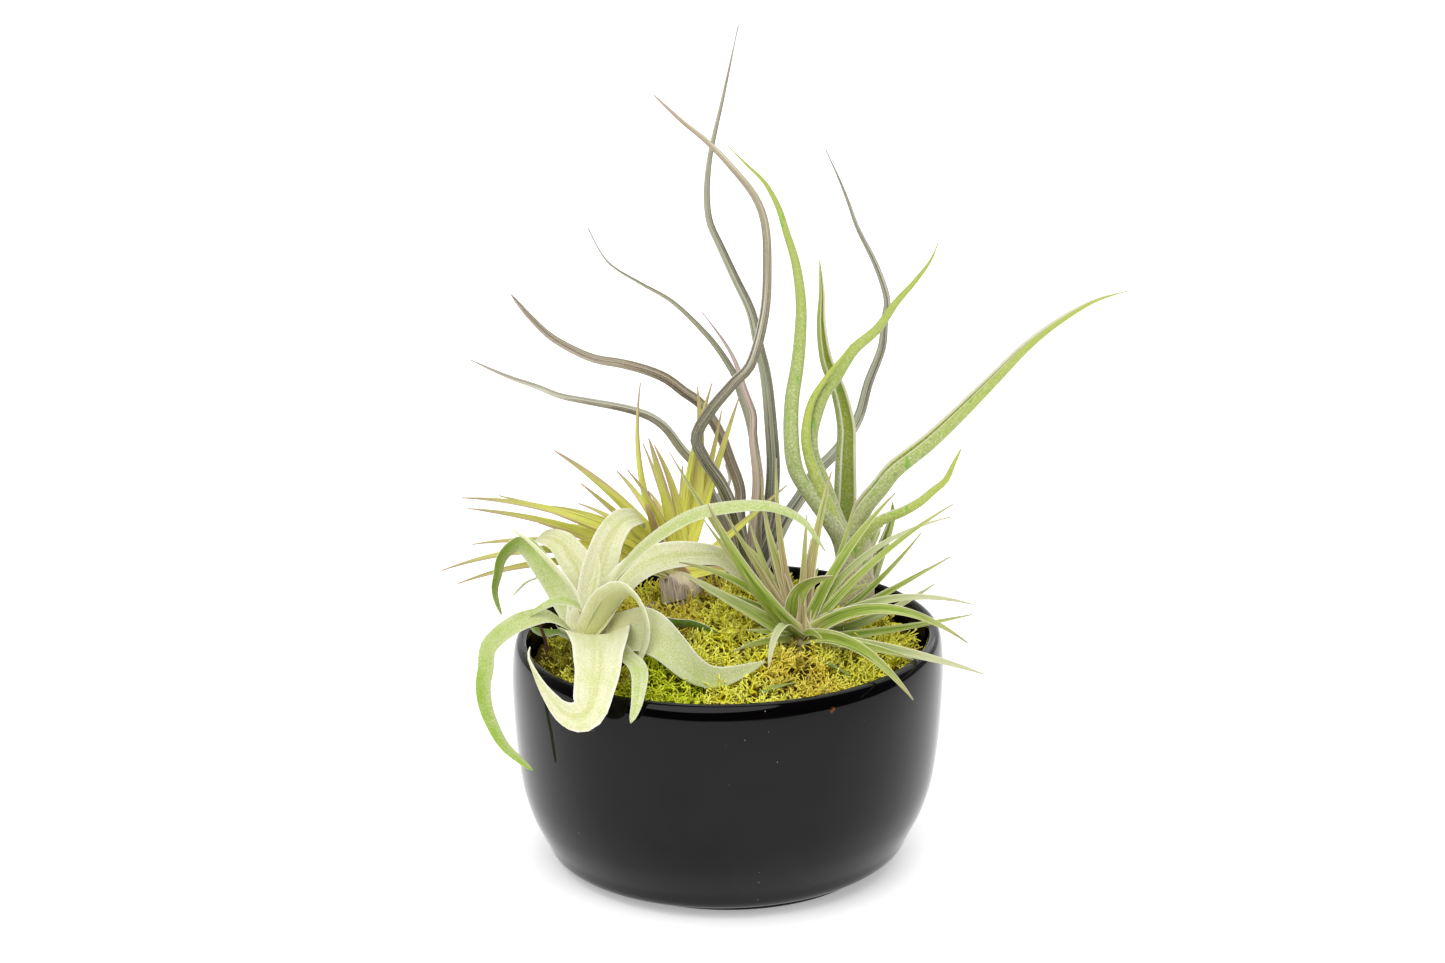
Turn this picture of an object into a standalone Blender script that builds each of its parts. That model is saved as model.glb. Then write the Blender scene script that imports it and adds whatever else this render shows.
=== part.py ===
"""Air plant bowl garden: five air plants standing in dried reindeer moss in a glazed bowl.

Metres, +Z up. The origin is on the bowl's axis, on the flat underside that it stands on, and
the front is -Y. Plant paths are given in millimetres from each plant's heart, the point where
its leaves meet.
"""

import math

import bmesh
import bpy
import numpy as np
from mathutils import Matrix, Vector, kdtree, noise
from mathutils.geometry import interpolate_bezier

MM = 0.001
GAP = 0.3 * MM

# Bowl: half of its section as radius and height, from the foot up the outside, over the lip
# and down the inside.
BOWL_STEPS = 40
FOOT_RADIUS = 59.0
BOWL_OUTSIDE = (
    (FOOT_RADIUS, 0.0), (FOOT_RADIUS, 1.2), (63.0, 1.8), (67.6, 3.2), (69.5, 5.5), (71.0, 9.0),
    (73.8, 14.5), (76.6, 21.0), (79.2, 30.5), (80.9, 43.0), (81.9, 56.0), (82.4, 68.0),
    (82.4, 75.0), (82.0, 80.5), (81.3, 84.5),
)
BOWL_LIP = ((80.3, 86.9), (79.0, 87.9), (77.6, 87.8), (76.6, 87.0), (76.2, 85.4))
BOWL_INSIDE = ((76.2, 80.0), (77.0, 70.0), (76.6, 44.0), (72.5, 24.0), (62.0, 9.5), (50.0, 6.0))
# The bowl isn't quite level: its wall stands this much higher on its foot, and more to the right.
# The lean grows from nothing to all of it between these heights, outside and inside.
LEAN_RISE = 1.8
LEAN_SLOPE = 0.0228
LEAN_OUTSIDE = (0.0, 1.2)
LEAN_INSIDE = (44.0, 80.0)

# Filler and moss: the moss clumps are cells of one bed, split halfway between their centres.
FILLER_TOP = 69.7
FILLER_GAP = 0.45
MOSS_FLOOR = 70.0
MOSS_RADIUS = 75.5
MOSS_EDGE_HEIGHT = 84.0
MOSS_CROWN = 8.5
MOSS_LEAN = 0.02
MOSS_SIDE_DIP = 4.5
MOSS_GRID = 33
MOSS_MOUND = (4, 24, 14.0, 4.5)
MOSS_LUMP = (9.5, 2.6)
MOSS_CRUMB = (4.6, 1.7)
MOSS_LOWEST = 76.0
LEAF_CLEARANCE = 0.35
LEAF_REACH = 5.5
EDGE_POINTS = 3
MOSS_CLUMPS = {
    "moss_lime_front": (5, -62),
    "moss_green_front_left": (-23, -57),
    "moss_olive_front_right": (27, -50),
    "moss_lime_front_right": (52, -38),
    "moss_lime_right": (62, -8),
    "moss_lime_back_right": (60, 32),
    "moss_lime_centre": (0, -24),
    "moss_lime_middle": (6, 14),
    "moss_lime_front_left": (-56, -44),
    "moss_lime_left": (-66, 17),
    "moss_lime_back_left": (-44, 52),
    "moss_olive_middle": (-24, 10),
    "moss_olive_back": (-7, 58),
    "moss_lime_back": (28, 62),
}

# Plants: heart, core radius at the foot and at the top, and the core's top above the heart.
HEARTS = {
    "wiry_plant": (8, 48, 90),
    "tentacle_plant": (50, 38, 90),
    "ribbon_plant": (-53, -14, 90),
    "spiky_plant": (-18, 38, 98),
    "tufted_plant": (28, -10, 89),
}
CORES = {
    "wiry_plant": (6.0, 3.5, 9),
    "tentacle_plant": (8.6, 6.0, 30),
    "ribbon_plant": (7.0, 5.0, 4),
    "spiky_plant": (8.2, 7.0, 3),
    "tufted_plant": (6.2, 3.5, 3),
}
CORE_SIDES = 10
HOLE_CLEARANCE = 0.45
HOLE_BOTTOM = 65.0
HOLE_TOP = 114.0

# Cross-sections of a leaf, as (across, level): across runs from -1 at one edge to 1 at the
# other, and level is -1 underneath and 1 on top.
ROUND = tuple((math.cos(math.tau * k / 6), math.sin(math.tau * k / 6)) for k in range(6))
FLAT = ((-1, 1), (0, 1), (1, 1), (1, -1), (0, -1), (-1, -1))
KEEL = ((-1, 0), (0, 0.8), (1, 0), (0, -1.2))

# Every leaf starts a little narrower in the heart and reaches its full width this far along.
ROOT_WIDTH = 0.7
ROOT_SHARE = 0.15
TIP_WIDTH = 0.7
FEWEST_STATIONS = 4
CURVE_STEPS = 9

# Each leaf: greatest width, how fast it tapers, how far it's turned about its own length at even
# steps along it, in degrees, and the points that its middle passes through. A cup is how far the
# edges stand above the middle, as a share of half the width.
WIRY_SPACING = 17.0
WIRY_LEAVES = (
    (5.6, 0.45, (0, 0), ((-1, -2, 12), (-5, -8, 31), (-10, -15, 47), (-17, -21, 60), (-20, -23, 69),
                         (-15, -23, 79), (-6, -22, 90), (1, -21, 98), (6, -18, 117), (7, -14, 136),
                         (6, -11, 150), (2, -8, 160), (-7, -6, 171), (-16, -4, 180), (-25, -2, 187),
                         (-36, 0, 197))),
    (6.8, 0.78, (0, 0), ((2, 5, 10), (8, 9, 25), (10, 10, 45), (9, 10, 64), (7, 8, 84), (4, 5, 98),
                         (1, 3, 112), (-5, 3, 125), (-11, 4, 138), (-15, 6, 147), (-16, 8, 158),
                         (-15, 10, 170), (-13, 12, 180), (-10, 12, 193), (-4, 9, 222))),
    (6.0, 0.33, (0, 0), ((-1, 5, 10), (-3, 8, 26), (-3, 9, 38), (-7, 10, 50), (-11, 10, 61),
                         (-18, 8, 73), (-25, 6, 79), (-32, 4, 85), (-40, 2, 89), (-49, 0, 92),
                         (-61, -2, 95), (-75, -4, 103), (-84, -5, 112), (-91, -6, 121))),
    (6.0, 0.55, (0, 0), ((-4, 3, 11), (-8, 7, 22), (-13, 10, 33), (-19, 10, 46), (-26, 8, 55),
                         (-32, 6, 64), (-38, 5, 69), (-45, 4, 72), (-52, 3, 74), (-61, 2, 76),
                         (-73, 0, 79), (-82, -1, 83), (-94, -3, 88), (-107, -6, 95))),
    (4.8, 0.8, (0, 0), ((2, 9, 9), (4, 16, 27), (4, 20, 43), (1, 22, 61), (-3, 22, 74),
                        (-5, 22, 81), (-12, 20, 93), (-20, 18, 103), (-30, 16, 113), (-41, 14, 120),
                        (-52, 13, 127), (-57, 12, 133), (-62, 12, 143))),
    (7.0, 0.85, (0, 0), ((2, 2, 11), (3, 3, 27), (4, 5, 43), (2, 7, 60), (2, 8, 69), (-1, 9, 78),
                         (-5, 10, 90), (-10, 10, 99), (-18, 10, 110))),
    (7.0, 0.72, (0, 0), ((5, 7, 5), (9, 11, 12), (15, 17, 23), (21, 21, 31), (27, 25, 40),
                         (36, 28, 49), (44, 30, 61), (48, 30, 76), (53, 30, 90), (54, 30, 101),
                         (55, 30, 109), (53, 30, 117), (49, 29, 127), (43, 28, 139), (39, 27, 150),
                         (35, 26, 160), (30, 25, 171))),
    (5.0, 0.7, (0, 0), ((1, 6, 8), (-3, 14, 18), (-9, 23, 26), (-11, 33, 29), (-7, 42, 31),
                        (-9, 50, 36))),
    (5.0, 0.7, (0, 0), ((4, 6, 6), (8, 15, 14), (11, 25, 22), (9, 34, 27), (12, 44, 29))),
)
TENTACLE_SPACING = 15.0
TENTACLE_THICKNESS = 1.5
TENTACLE_CUP = 0.45
TENTACLE_LEAVES = (
    (10.5, 0.78, (0, 0), ((-4, -2, 22), (-9, -6, 33), (-17, -8, 45), (-23, -9, 55), (-25, -9, 67),
                          (-25, -8, 82), (-23, -8, 97), (-22, -7, 110), (-22, -6, 121),
                          (-24, -5, 135), (-28, -4, 148), (-31, -3, 157), (-36, -3, 166),
                          (-43, -3, 173), (-50, -3, 180))),
    (10.5, 0.75, (0, 0), ((-3, -1, 22), (-8, -3, 35), (-13, -4, 49), (-17, -5, 59), (-18, -6, 68),
                          (-16, -6, 77), (-13, -6, 85), (-9, -5, 90), (-2, -4, 101), (7, -3, 109),
                          (14, -2, 119), (21, -1, 127), (27, 0, 135), (30, 1, 142))),
    (9.0, 0.8, (0, 0), ((-4, -3, 22), (-9, -7, 35), (-15, -10, 50), (-19, -11, 62), (-20, -11, 71),
                        (-18, -10, 82), (-13, -10, 91), (-8, -10, 98), (-3, -10, 105))),
    (11.5, 0.66, (0, 0), ((-2, 2, 20), (-4, 5, 32), (-4, 6, 41), (-4, 6, 57), (-4, 6, 68),
                          (-7, 5, 82), (-12, 4, 95), (-14, 3, 109), (-14, 2, 122), (-15, 1, 135))),
    (12.0, 0.78, (0, 15), ((-1, 0, 20), (-1, -1, 29), (2, -2, 38), (8, -3, 46), (14, -4, 54),
                           (27, -5, 65), (39, -6, 77), (52, -7, 91), (64, -8, 104), (76, -9, 114),
                           (89, -10, 122), (101, -11, 126))),
    (8.0, 0.57, (0, 20), ((0, -3, 16), (1, -5, 24), (5, -7, 31), (10, -8, 35), (17, -9, 38),
                          (24, -9, 42), (29, -8, 46), (34, -7, 50), (37, -6, 56), (40, -5, 62))),
    (7.0, 0.5, (0, 0), ((3, 4, 1), (6, 8, 4), (10, 12, 13), (13, 14, 21), (15, 15, 28), (15, 15, 34))),
    (7.5, 0.7, (0, 0), ((0, 3, 18), (-1, 10, 24), (-4, 20, 30), (-5, 30, 32), (-2, 40, 30),
                        (2, 48, 31))),
    (6.5, 0.7, (0, 0), ((2, 2, 14), (6, 9, 19), (9, 18, 22), (8, 27, 20), (9, 36, 16), (13, 43, 15))),
)
RIBBON_SPACING = 8.0
RIBBON_THICKNESS = 0.9
RIBBON_CUP = 0.22
RIBBON_LEAVES = (
    (30.0, 0.8, (0, 0, 0, 0, -20, -60),
     ((3, -11, 6), (5, -26, 11.5), (6, -40, 12.5), (6, -48, 11.5), (6, -54, 7.5), (5, -58, 3),
      (4, -60.5, -1), (3, -62, -3.5), (0.5, -62, -5.5), (-3, -60.5, -6), (-7, -58, -4.5),
      (-10, -56, -1.5), (-14, -55, 4), (-17, -53, 9), (-19, -51, 13), (-18.5, -49, 16))),
    (24.0, 0.75, (10, 50, 60, 60, 50),
     ((8, -4.5, 3.5), (16, -11, 7), (23, -19, 11), (29, -25, 10), (33, -30, 8), (39, -34, 3),
      (45, -36, 0), (51, -37, 0), (57, -35, 1), (67, -29, 3))),
    (17.0, 0.75, (0, -95),
     ((3, -2.5, 5.5), (7, -6.5, 17), (11.5, -12, 23.5), (16, -17, 26), (20, -21, 23),
      (22.5, -25, 17.5), (22.5, -26, 10), (20, -27, 3), (18, -28, -1), (15.5, -27, -5.5))),
    (12.0, 0.45, (0, 0),
     ((8, -16, 5), (14, -34, 7), (19, -46, 8), (21, -53, 7), (21, -59, 4), (20, -62, -2),
      (18, -63, -8))),
    (9.0, 0.45, (0, -40, -75, -75),
     ((-4, -3.5, 2), (-9, -6, 8.5), (-15, -9, 13), (-21, -13, 13.5), (-26, -16, 12.5),
      (-32, -17, 8.5), (-36, -17, 3.5), (-37, -19, -4), (-38, -21, -10), (-37, -24, -17),
      (-34, -27, -24), (-30, -30, -30), (-25, -32.5, -34), (-19, -35, -38))),
    (11.5, 0.45, (0, -40, -75, -75),
     ((-5, 9, 6), (-12, 17, 16), (-18, 21, 24), (-22, 23, 29), (-26, 23, 32), (-31, 21, 30),
      (-34, 19, 26), (-35, 17, 21), (-36, 15, 16), (-35, 13, 11), (-33, 11, 7))),
    (9.0, 0.7, (10, 50, 60, 60),
     ((-1.5, 0, 6), (-2.7, 0.5, 11.7), (-4.5, 3, 17), (-8.4, 5.5, 22.4), (-12.8, 8, 27.1),
      (-16, 9.5, 30.2), (-19.4, 11, 33.3), (-23.2, 12.5, 36.7), (-26.4, 13.5, 38.6),
      (-29.3, 14.5, 40.8))),
    (19.0, 0.5, (0, 0),
     ((0, 17.5, 11), (-3, 24, 19), (-7, 29, 24), (-11, 33, 28), (-16, 37, 29), (-20, 43, 27),
      (-23, 49, 22))),
    (18.0, 0.5, (0, 20),
     ((3, 14, 12.5), (4, 19, 21), (6, 22, 28), (8, 25, 33), (12, 29, 38), (16, 34, 38),
      (19, 40, 36), (20, 46, 30))),
    (9.5, 0.6, (0, 95),
     ((4, -3.5, 13), (9, -6, 23), (16, -9, 34), (23, -12, 42), (31, -14, 49), (41, -15, 55),
      (52, -16, 58), (64, -16, 59), (73, -15, 57), (81, -14, 52), (86, -13, 45), (89, -12, 40))),
    (16.0, 0.45, (0, 85),
     ((5, 1.5, 7.5), (10, 5.5, 17.5), (19, 9, 26), (29, 11, 30), (42, 12, 31), (51, 13, 29),
      (56, 12, 24), (58, 11, 20))),
    (7.0, 0.6, (0, 0),
     ((1, 2.5, 9.5), (2, 5, 17.5), (4, 7, 26), (4, 9, 32))),
    (8.5, 0.45, (0, -60, -75),
     ((8, 2, 2.5), (18, 2, 7), (27, 1, 7.5), (34, 0, 7), (39, 0, 7), (44.5, -0.5, 5.5),
      (49, -1, 4))),
    (9.0, 0.45, (0, 0, -50),
     ((-5, 4.5, 0), (-10, 11, -1), (-15.5, 14, -2), (-19.5, 14, -1), (-22.5, 14, 1))),
    (7.5, 0.5, (0, -45, -60),
     ((-1.1, -1.5, 6), (-1.6, -3, 12), (-3.2, -4.5, 15.3), (-6.2, -6, 17.7), (-10.3, -8, 19),
      (-14.4, -9.5, 18.1), (-18, -11, 16.6), (-20.5, -12, 14.5))),
    (8.0, 0.6, (0, 0),
     ((-3, 7.5, 5.5), (-8, 20, 14), (-15, 31, 15), (-24, 39, 11), (-31, 44, 3))),
)
BLADE_STATIONS = 5
BLADE_TAPER = 0.62
BLADE_CUP = 0.6
BLADE_THICKNESS = 1.1
# Blades turn most of the way to face the front, which looks at them a little from above.
FRONT_VIEW = Vector((0, 0.956, -0.292))
FRONT_SHARE = 0.85
# Spiky and tufted plants: width, length, compass heading from +X, rise above level, and bow,
# how far the middle stands above the straight line from heart to tip.
SPIKY_BLADES = (
    (4.1, 83, -153, 78, -8), (6.5, 76, -162, 48, 4), (4.8, 57, -168, 46, 1), (5.3, 96, -163, 25, 8),
    (5.3, 90, -168, 22, 5), (4.8, 79, -177, 26, 4), (5.8, 65, -167, 31, 6), (4.8, 67, 174, 20, 1),
    (5.0, 83, 179, 9, 7), (5.4, 95, -167, 6, 10), (5.4, 88, -169, 2, 8), (3.8, 54, -147, 63, 3),
    (6.9, 61, -147, 76, 1), (5.8, 55, 180, 79, 4), (3.6, 55, 152, 72, 2), (5.3, 81, -18, 81, 3),
    (6.9, 77, 19, 85, -4), (5.3, 77, 0, 73, 0), (4.8, 68, 27, 75, -1), (4.4, 58, -11, 44, 0),
    (3.6, 39, -163, 70, -1), (5.8, 29, -36, 17, 1), (4.8, 45, 68, 38, 4), (5.0, 50, 90, 44, 4),
    (4.8, 47, 109, 29, 5), (5.0, 54, 128, 38, 4), (4.4, 53, 149, 25, 4), (4.1, 37, 103, 60, 2),
    (4.1, 61, 164, 16, 6),
)
SPIKY_BUD = (8.0, 0.35, (0, 0), ((-6, -4, 10), (-10, -8, 18), (-12, -14, 28), (-13.5, -18, 36)))
TUFTED_BLADES = (
    (6.0, 77, -31, 1, 3), (6.8, 73, -58, 0, 9), (6.2, 65, -19, 6, 13), (5.0, 66, 2, 12, 9),
    (4.3, 66, -11, 13, -1), (5.6, 49, -34, 3, 2), (5.0, 56, 17, 18, -3), (4.0, 66, 19, 24, 0),
    (4.0, 59, 30, 19, 0), (4.0, 61, 17, 39, -3), (4.3, 78, 0, 44, 4), (4.0, 73, 10, 39, 10),
    (5.6, 67, 10, 58, 4), (4.0, 58, 41, 62, -3), (5.9, 65, 58, 71, 3), (4.0, 48, 80, 77, 3),
    (5.6, 52, 132, 65, -1), (4.0, 70, 125, 76, -5), (4.0, 64, 126, 66, -5), (4.0, 50, 149, 62, -2),
    (4.0, 58, 161, 57, 0), (9.0, 76, -144, 55, -3), (4.0, 88, 171, 55, -2), (4.0, 60, 177, 52, -1),
    (5.0, 58, -170, 36, 6), (6.8, 58, -163, 34, 0), (4.0, 25, -156, 18, 1), (4.0, 39, -133, 9, 2),
    (4.0, 19, -62, 12, 4), (10.5, 32, -36, 64, 10), (7.4, 37, -6, 21, 5), (4.3, 41, 79, 24, 4),
    (4.0, 50, 84, 32, 4), (4.3, 54, 102, 24, 5), (4.0, 51, 120, 32, 4), (4.3, 46, 48, 15, 5),
    (4.3, 44, 148, 14, 5),
)
TUFTED_FALLING = (6.0, 0.6, (0, 0), ((-2, -4, 3), (-5, -10, 8), (-7, -17, 12), (-10, -24, 11),
                                     (-12, -30, 7), (-13, -35, 1)))

# Loose bits: a twig in a small hole, and dropped green and dry scraps that lie on the moss.
BIT_SPACING = 4.0
TWIG_WIDTH = 1.8
TWIG_TAPER = 0.3
TWIG_PATH = ((-69, -4, 79), (-69, -4, 85), (-71, -4, 92), (-74, -3, 99))
TWIG_HOLE_RADIUS = 1.6
TWIG_HOLE_FLOOR = 77.5
SCRAP_TAPER = 0.6
SCRAP_THICKNESS = 0.9
SCRAP_CUP = 0.2
SCRAP_LIFT = 0.4
SCRAPS = {
    "leaf_scrap_1": (4.4, ((12, -61), (18, -56), (25, -51))),
    "leaf_scrap_2": (3.6, ((36, -37), (41, -38), (45, -42))),
    "dry_scrap": (4.0, ((-33, 24), (-30, 28), (-29, 33))),
    "dry_stem": (1.6, ((-28, 25), (-23, 27), (-18, 28.5))),
}

COLOURS = {
    "bowl": ((0.012, 0.011, 0.013), 0.12),
    "filler": ((0.12, 0.08, 0.05), 0.9),
    "moss_lime": ((0.55, 0.52, 0.03), 0.9),
    "moss_green": ((0.36, 0.50, 0.02), 0.9),
    "moss_olive": ((0.24, 0.19, 0.03), 0.9),
    "wiry_plant": ((0.16, 0.15, 0.09), 0.6),
    "tentacle_plant": ((0.22, 0.28, 0.15), 0.6),
    "ribbon_plant": ((0.52, 0.62, 0.36), 0.6),
    "spiky_plant": ((0.36, 0.36, 0.12), 0.55),
    "tufted_plant": ((0.26, 0.40, 0.11), 0.5),
    "dry_twig": ((0.10, 0.05, 0.03), 0.8),
    "leaf_scrap": ((0.20, 0.34, 0.08), 0.6),
    "dry_scrap": ((0.34, 0.29, 0.24), 0.8),
    "dry_stem": ((0.10, 0.05, 0.03), 0.8),
}


def clear_scene():
    for old in list(bpy.data.objects):
        bpy.data.objects.remove(old)


def material_for(name):
    """A Principled material with the piece's own colour and roughness."""
    key = next(kind for kind in COLOURS if name.startswith(kind))
    colour, roughness = COLOURS[key]
    material = bpy.data.materials.new(name)
    material.use_nodes = True
    shader = material.node_tree.nodes["Principled BSDF"]
    shader.inputs["Base Color"].default_value = (*colour, 1)
    shader.inputs["Roughness"].default_value = roughness
    shader.inputs["Metallic"].default_value = 0.0
    return material


def object_from(bm, name, collection=None):
    """Turns the bmesh into a named object with outward faces."""
    bmesh.ops.recalc_face_normals(bm, faces=bm.faces)
    mesh = bpy.data.meshes.new(name)
    bm.to_mesh(mesh)
    bm.free()
    made = bpy.data.objects.new(name, mesh)
    (collection or bpy.context.scene.collection).objects.link(made)
    return made


def finish(made, smooth_angle=math.radians(50)):
    made.data.materials.append(material_for(made.name))
    made.data.shade_smooth()
    made.data.set_sharp_from_angle(angle=smooth_angle)


def turned(name, profile, steps):
    """A solid of revolution about +Z from (radius, height) points in millimetres."""
    bm = bmesh.new()
    points = [bm.verts.new((radius * MM, 0, height * MM)) for radius, height in profile]
    edges = [bm.edges.new(pair) for pair in zip(points, points[1:])]
    bmesh.ops.spin(bm, geom=points + edges, axis=(0, 0, 1), cent=(0, 0, 0), angle=math.tau,
                   steps=steps, use_merge=True)
    bmesh.ops.remove_doubles(bm, verts=bm.verts, dist=0.01 * MM)
    return object_from(bm, name)


def lean(made):
    """Raises the bowl's wall and lip over its foot, more on the right."""
    radii, heights = zip(*BOWL_INSIDE[::-1])
    for vert in made.data.vertices:
        height = vert.co.z / MM
        inner_radius = np.interp(height, heights, radii, left=0)
        inside = vert.co.xy.length / MM < inner_radius + 0.1
        low, high = LEAN_INSIDE if inside else LEAN_OUTSIDE
        share = min(max((height - low) / (high - low), 0), 1)
        vert.co.z += share * (LEAN_RISE * MM + LEAN_SLOPE * vert.co.x)


def make_bowl():
    bottom = BOWL_INSIDE[-1][1]
    profile = ((0, 0),) + BOWL_OUTSIDE + BOWL_LIP + BOWL_INSIDE + ((0, bottom),)
    bowl = turned("bowl", profile, BOWL_STEPS)
    lean(bowl)
    finish(bowl)


def make_filler():
    """The filler follows the bowl's inner wall, FILLER_GAP inside it, up to a flat top."""
    wall = [(radius - FILLER_GAP, height + FILLER_GAP) for radius, height in BOWL_INSIDE
            if height < FILLER_TOP]
    top_radius = wall[0][0]
    profile = [(0, FILLER_TOP), (top_radius, FILLER_TOP)] + wall + [(0, wall[-1][1])]
    finish(turned("filler", profile[::-1], BOWL_STEPS))


def smooth_path(points, spacing):
    """Stations on a smooth curve through the points, evenly spaced at about this distance."""
    dense = [points[0]]
    for k in range(len(points) - 1):
        start, end = points[k], points[k + 1]
        leave = start + (end - points[max(k - 1, 0)]) / 6
        arrive = end - (points[min(k + 2, len(points) - 1)] - start) / 6
        dense += interpolate_bezier(start, leave, arrive, end, CURVE_STEPS)[1:]
    dense = np.array(dense)
    run = np.concatenate([[0], np.cumsum(np.linalg.norm(np.diff(dense, axis=0), axis=1))])
    wanted = np.linspace(0, run[-1], max(FEWEST_STATIONS, round(run[-1] / spacing) + 1))
    return [Vector(point) for point in zip(*(np.interp(wanted, run, column) for column in dense.T))]


def frames_along(path, turns):
    """One matrix for each station: X across the leaf, Y its upper face, Z along it. The turns are
    how far it's turned about its own length, in degrees, at even steps from root to tip."""
    last = len(path) - 1
    tangents = [(path[min(k + 1, last)] - path[max(k - 1, 0)]).normalized() for k in range(last + 1)]
    outward = path[last // 2] - path[0]
    across = Vector((-outward.y, outward.x, 0))
    across = (across - across.dot(tangents[0]) * tangents[0]).normalized()
    rolls = np.radians(np.interp(np.linspace(0, 1, last + 1), np.linspace(0, 1, len(turns)), turns))
    frames = []
    for k, tangent in enumerate(tangents):
        if k:
            across = tangents[k - 1].rotation_difference(tangent) @ across
        above = tangent.cross(across)
        frame = Matrix((across, above, tangent)).transposed().to_4x4()
        frames.append(Matrix.Translation(path[k]) @ frame @ Matrix.Rotation(rolls[k], 4, "Z"))
    return frames


def leaf_width(share, taper):
    """Width at a share of the length: a little narrower in the heart, then down to the tip."""
    root = ROOT_WIDTH + (1 - ROOT_WIDTH) * min(share / ROOT_SHARE, 1)
    return root * max(1 - share, 0) ** taper


def split_alike(bm, along, across):
    """Splits each four-sided face from its low corner, so that both faces of a leaf match."""
    for face in [face for face in bm.faces if len(face.verts) == 4]:
        low = min(face.verts, key=lambda vert: (vert[along], vert[across]))
        high = max(face.verts, key=lambda vert: (vert[along], vert[across]))
        if not any(edge.other_vert(low) is high for edge in low.link_edges):
            bmesh.utils.face_split(face, low, high)


def leaf_mesh(path, section, width, taper, turns, thickness=0.0, cup=0.0):
    """A closed leaf: a grid wrapped round the section at every station of the path."""
    sides = len(section)
    last = len(path) - 1
    frames = frames_along(path, turns)
    bm = bmesh.new()
    along = bm.verts.layers.float.new("along")
    across = bm.verts.layers.float.new("across")
    bmesh.ops.create_grid(bm, x_segments=sides, y_segments=last, size=0.5)
    for vert in bm.verts:
        corner = round((vert.co.x + 0.5) * sides) % sides
        station = round((vert.co.y + 0.5) * last)
        half = max(width * leaf_width(station / last, taper), TIP_WIDTH * MM) / 2
        sideways, level = section[corner]
        depth = half if section is ROUND else min(thickness / 2, half)
        rise = level * depth + cup * half * sideways ** 2
        vert[along] = station
        vert[across] = sideways
        vert.co = frames[station] @ Vector((sideways * half, rise, 0))
    bmesh.ops.remove_doubles(bm, verts=bm.verts, dist=0.001 * MM)
    bmesh.ops.holes_fill(bm, edges=[edge for edge in bm.edges if edge.is_boundary], sides=0)
    split_alike(bm, along, across)
    return bm


def core_of(name):
    """The stub that the leaves grow from. It stands on the filler, in a hole through the moss."""
    x, y, z = HEARTS[name]
    foot, top, rise = CORES[name]
    bottom = FILLER_TOP + GAP / MM
    height = z + rise - bottom
    bm = bmesh.new()
    place = Matrix.Translation(Vector((x, y, bottom + height / 2)) * MM)
    bmesh.ops.create_cone(bm, cap_ends=True, segments=CORE_SIDES, radius1=foot * MM,
                          radius2=top * MM, depth=height * MM, matrix=place)
    return object_from(bm, name)


def keep_largest_body(mesh):
    """Drops the loose scraps and the sealed hollows that a union can leave."""
    bm = bmesh.new()
    bm.from_mesh(mesh)
    bodies = []
    waiting = set(bm.verts)
    while waiting:
        body = {waiting.pop()}
        edge_of_body = list(body)
        while edge_of_body:
            vert = edge_of_body.pop()
            reached = {edge.other_vert(vert) for edge in vert.link_edges} & waiting
            waiting -= reached
            body |= reached
            edge_of_body += reached
        bodies.append(body)
    largest = max(bodies, key=len)
    bmesh.ops.delete(bm, geom=[vert for vert in bm.verts if vert not in largest], context="VERTS")
    bm.to_mesh(mesh)
    bm.free()


def fuse(core, leaves):
    """Joins the leaves to the core in one solid, and removes the loose ones."""
    union = core.modifiers.new("fused", "BOOLEAN")
    union.operation = "UNION"
    union.operand_type = "COLLECTION"
    union.collection = leaves
    union.solver = "MANIFOLD"
    graph = bpy.context.evaluated_depsgraph_get()
    fused = bpy.data.meshes.new_from_object(core.evaluated_get(graph))
    fused.materials.clear()
    keep_largest_body(fused)
    core.modifiers.clear()
    core.data = fused
    for leaf in list(leaves.objects):
        bpy.data.objects.remove(leaf)
    bpy.data.collections.remove(leaves)


def waypoint_leaves(leaves, spacing, section, thickness=0.0, cup=0.0):
    """The bmeshes of leaves whose paths are given point by point."""
    start = Vector((0, 0, 0))
    for width, taper, turns, points in leaves:
        path = smooth_path([start] + [Vector(point) * MM for point in points], spacing * MM)
        yield leaf_mesh(path, section, width * MM, taper, turns, thickness * MM, cup)


def front_turn(along, across):
    """How far a blade is turned about its length, so that its face is mostly to the front."""
    facing = FRONT_VIEW.cross(along).normalized()
    if facing.dot(across) < 0:
        facing = -facing
    return FRONT_SHARE * math.degrees(math.atan2(along.dot(across.cross(facing)), across.dot(facing)))


def bowed_blades(blades):
    """The bmeshes of narrow channelled leaves, given by length, heading, rise and bow."""
    for width, length, heading, rise, bow in blades:
        heading, rise = math.radians(heading), math.radians(rise)
        level = Vector((math.cos(heading), math.sin(heading), 0))
        along = level * math.cos(rise) + Vector((0, 0, math.sin(rise)))
        upward = Vector((0, 0, math.cos(rise))) - level * math.sin(rise)
        shares = [k / (BLADE_STATIONS - 1) for k in range(BLADE_STATIONS)]
        path = [(along * length * s + upward * bow * 4 * s * (1 - s)) * MM for s in shares]
        turns = (front_turn(along, Vector((-level.y, level.x, 0))),)
        yield leaf_mesh(path, KEEL, width * MM, BLADE_TAPER, turns, BLADE_THICKNESS * MM, BLADE_CUP)


def make_plant(name, leaf_meshes):
    core = core_of(name)
    leaves = bpy.data.collections.new(name + "_leaves")
    bpy.context.scene.collection.children.link(leaves)
    heart = Matrix.Translation(Vector(HEARTS[name]) * MM)
    for number, bm in enumerate(leaf_meshes):
        bm.transform(heart)
        object_from(bm, f"{name}_leaf_{number}", leaves)
    bpy.context.view_layer.update()
    fuse(core, leaves)
    finish(core)


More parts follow.
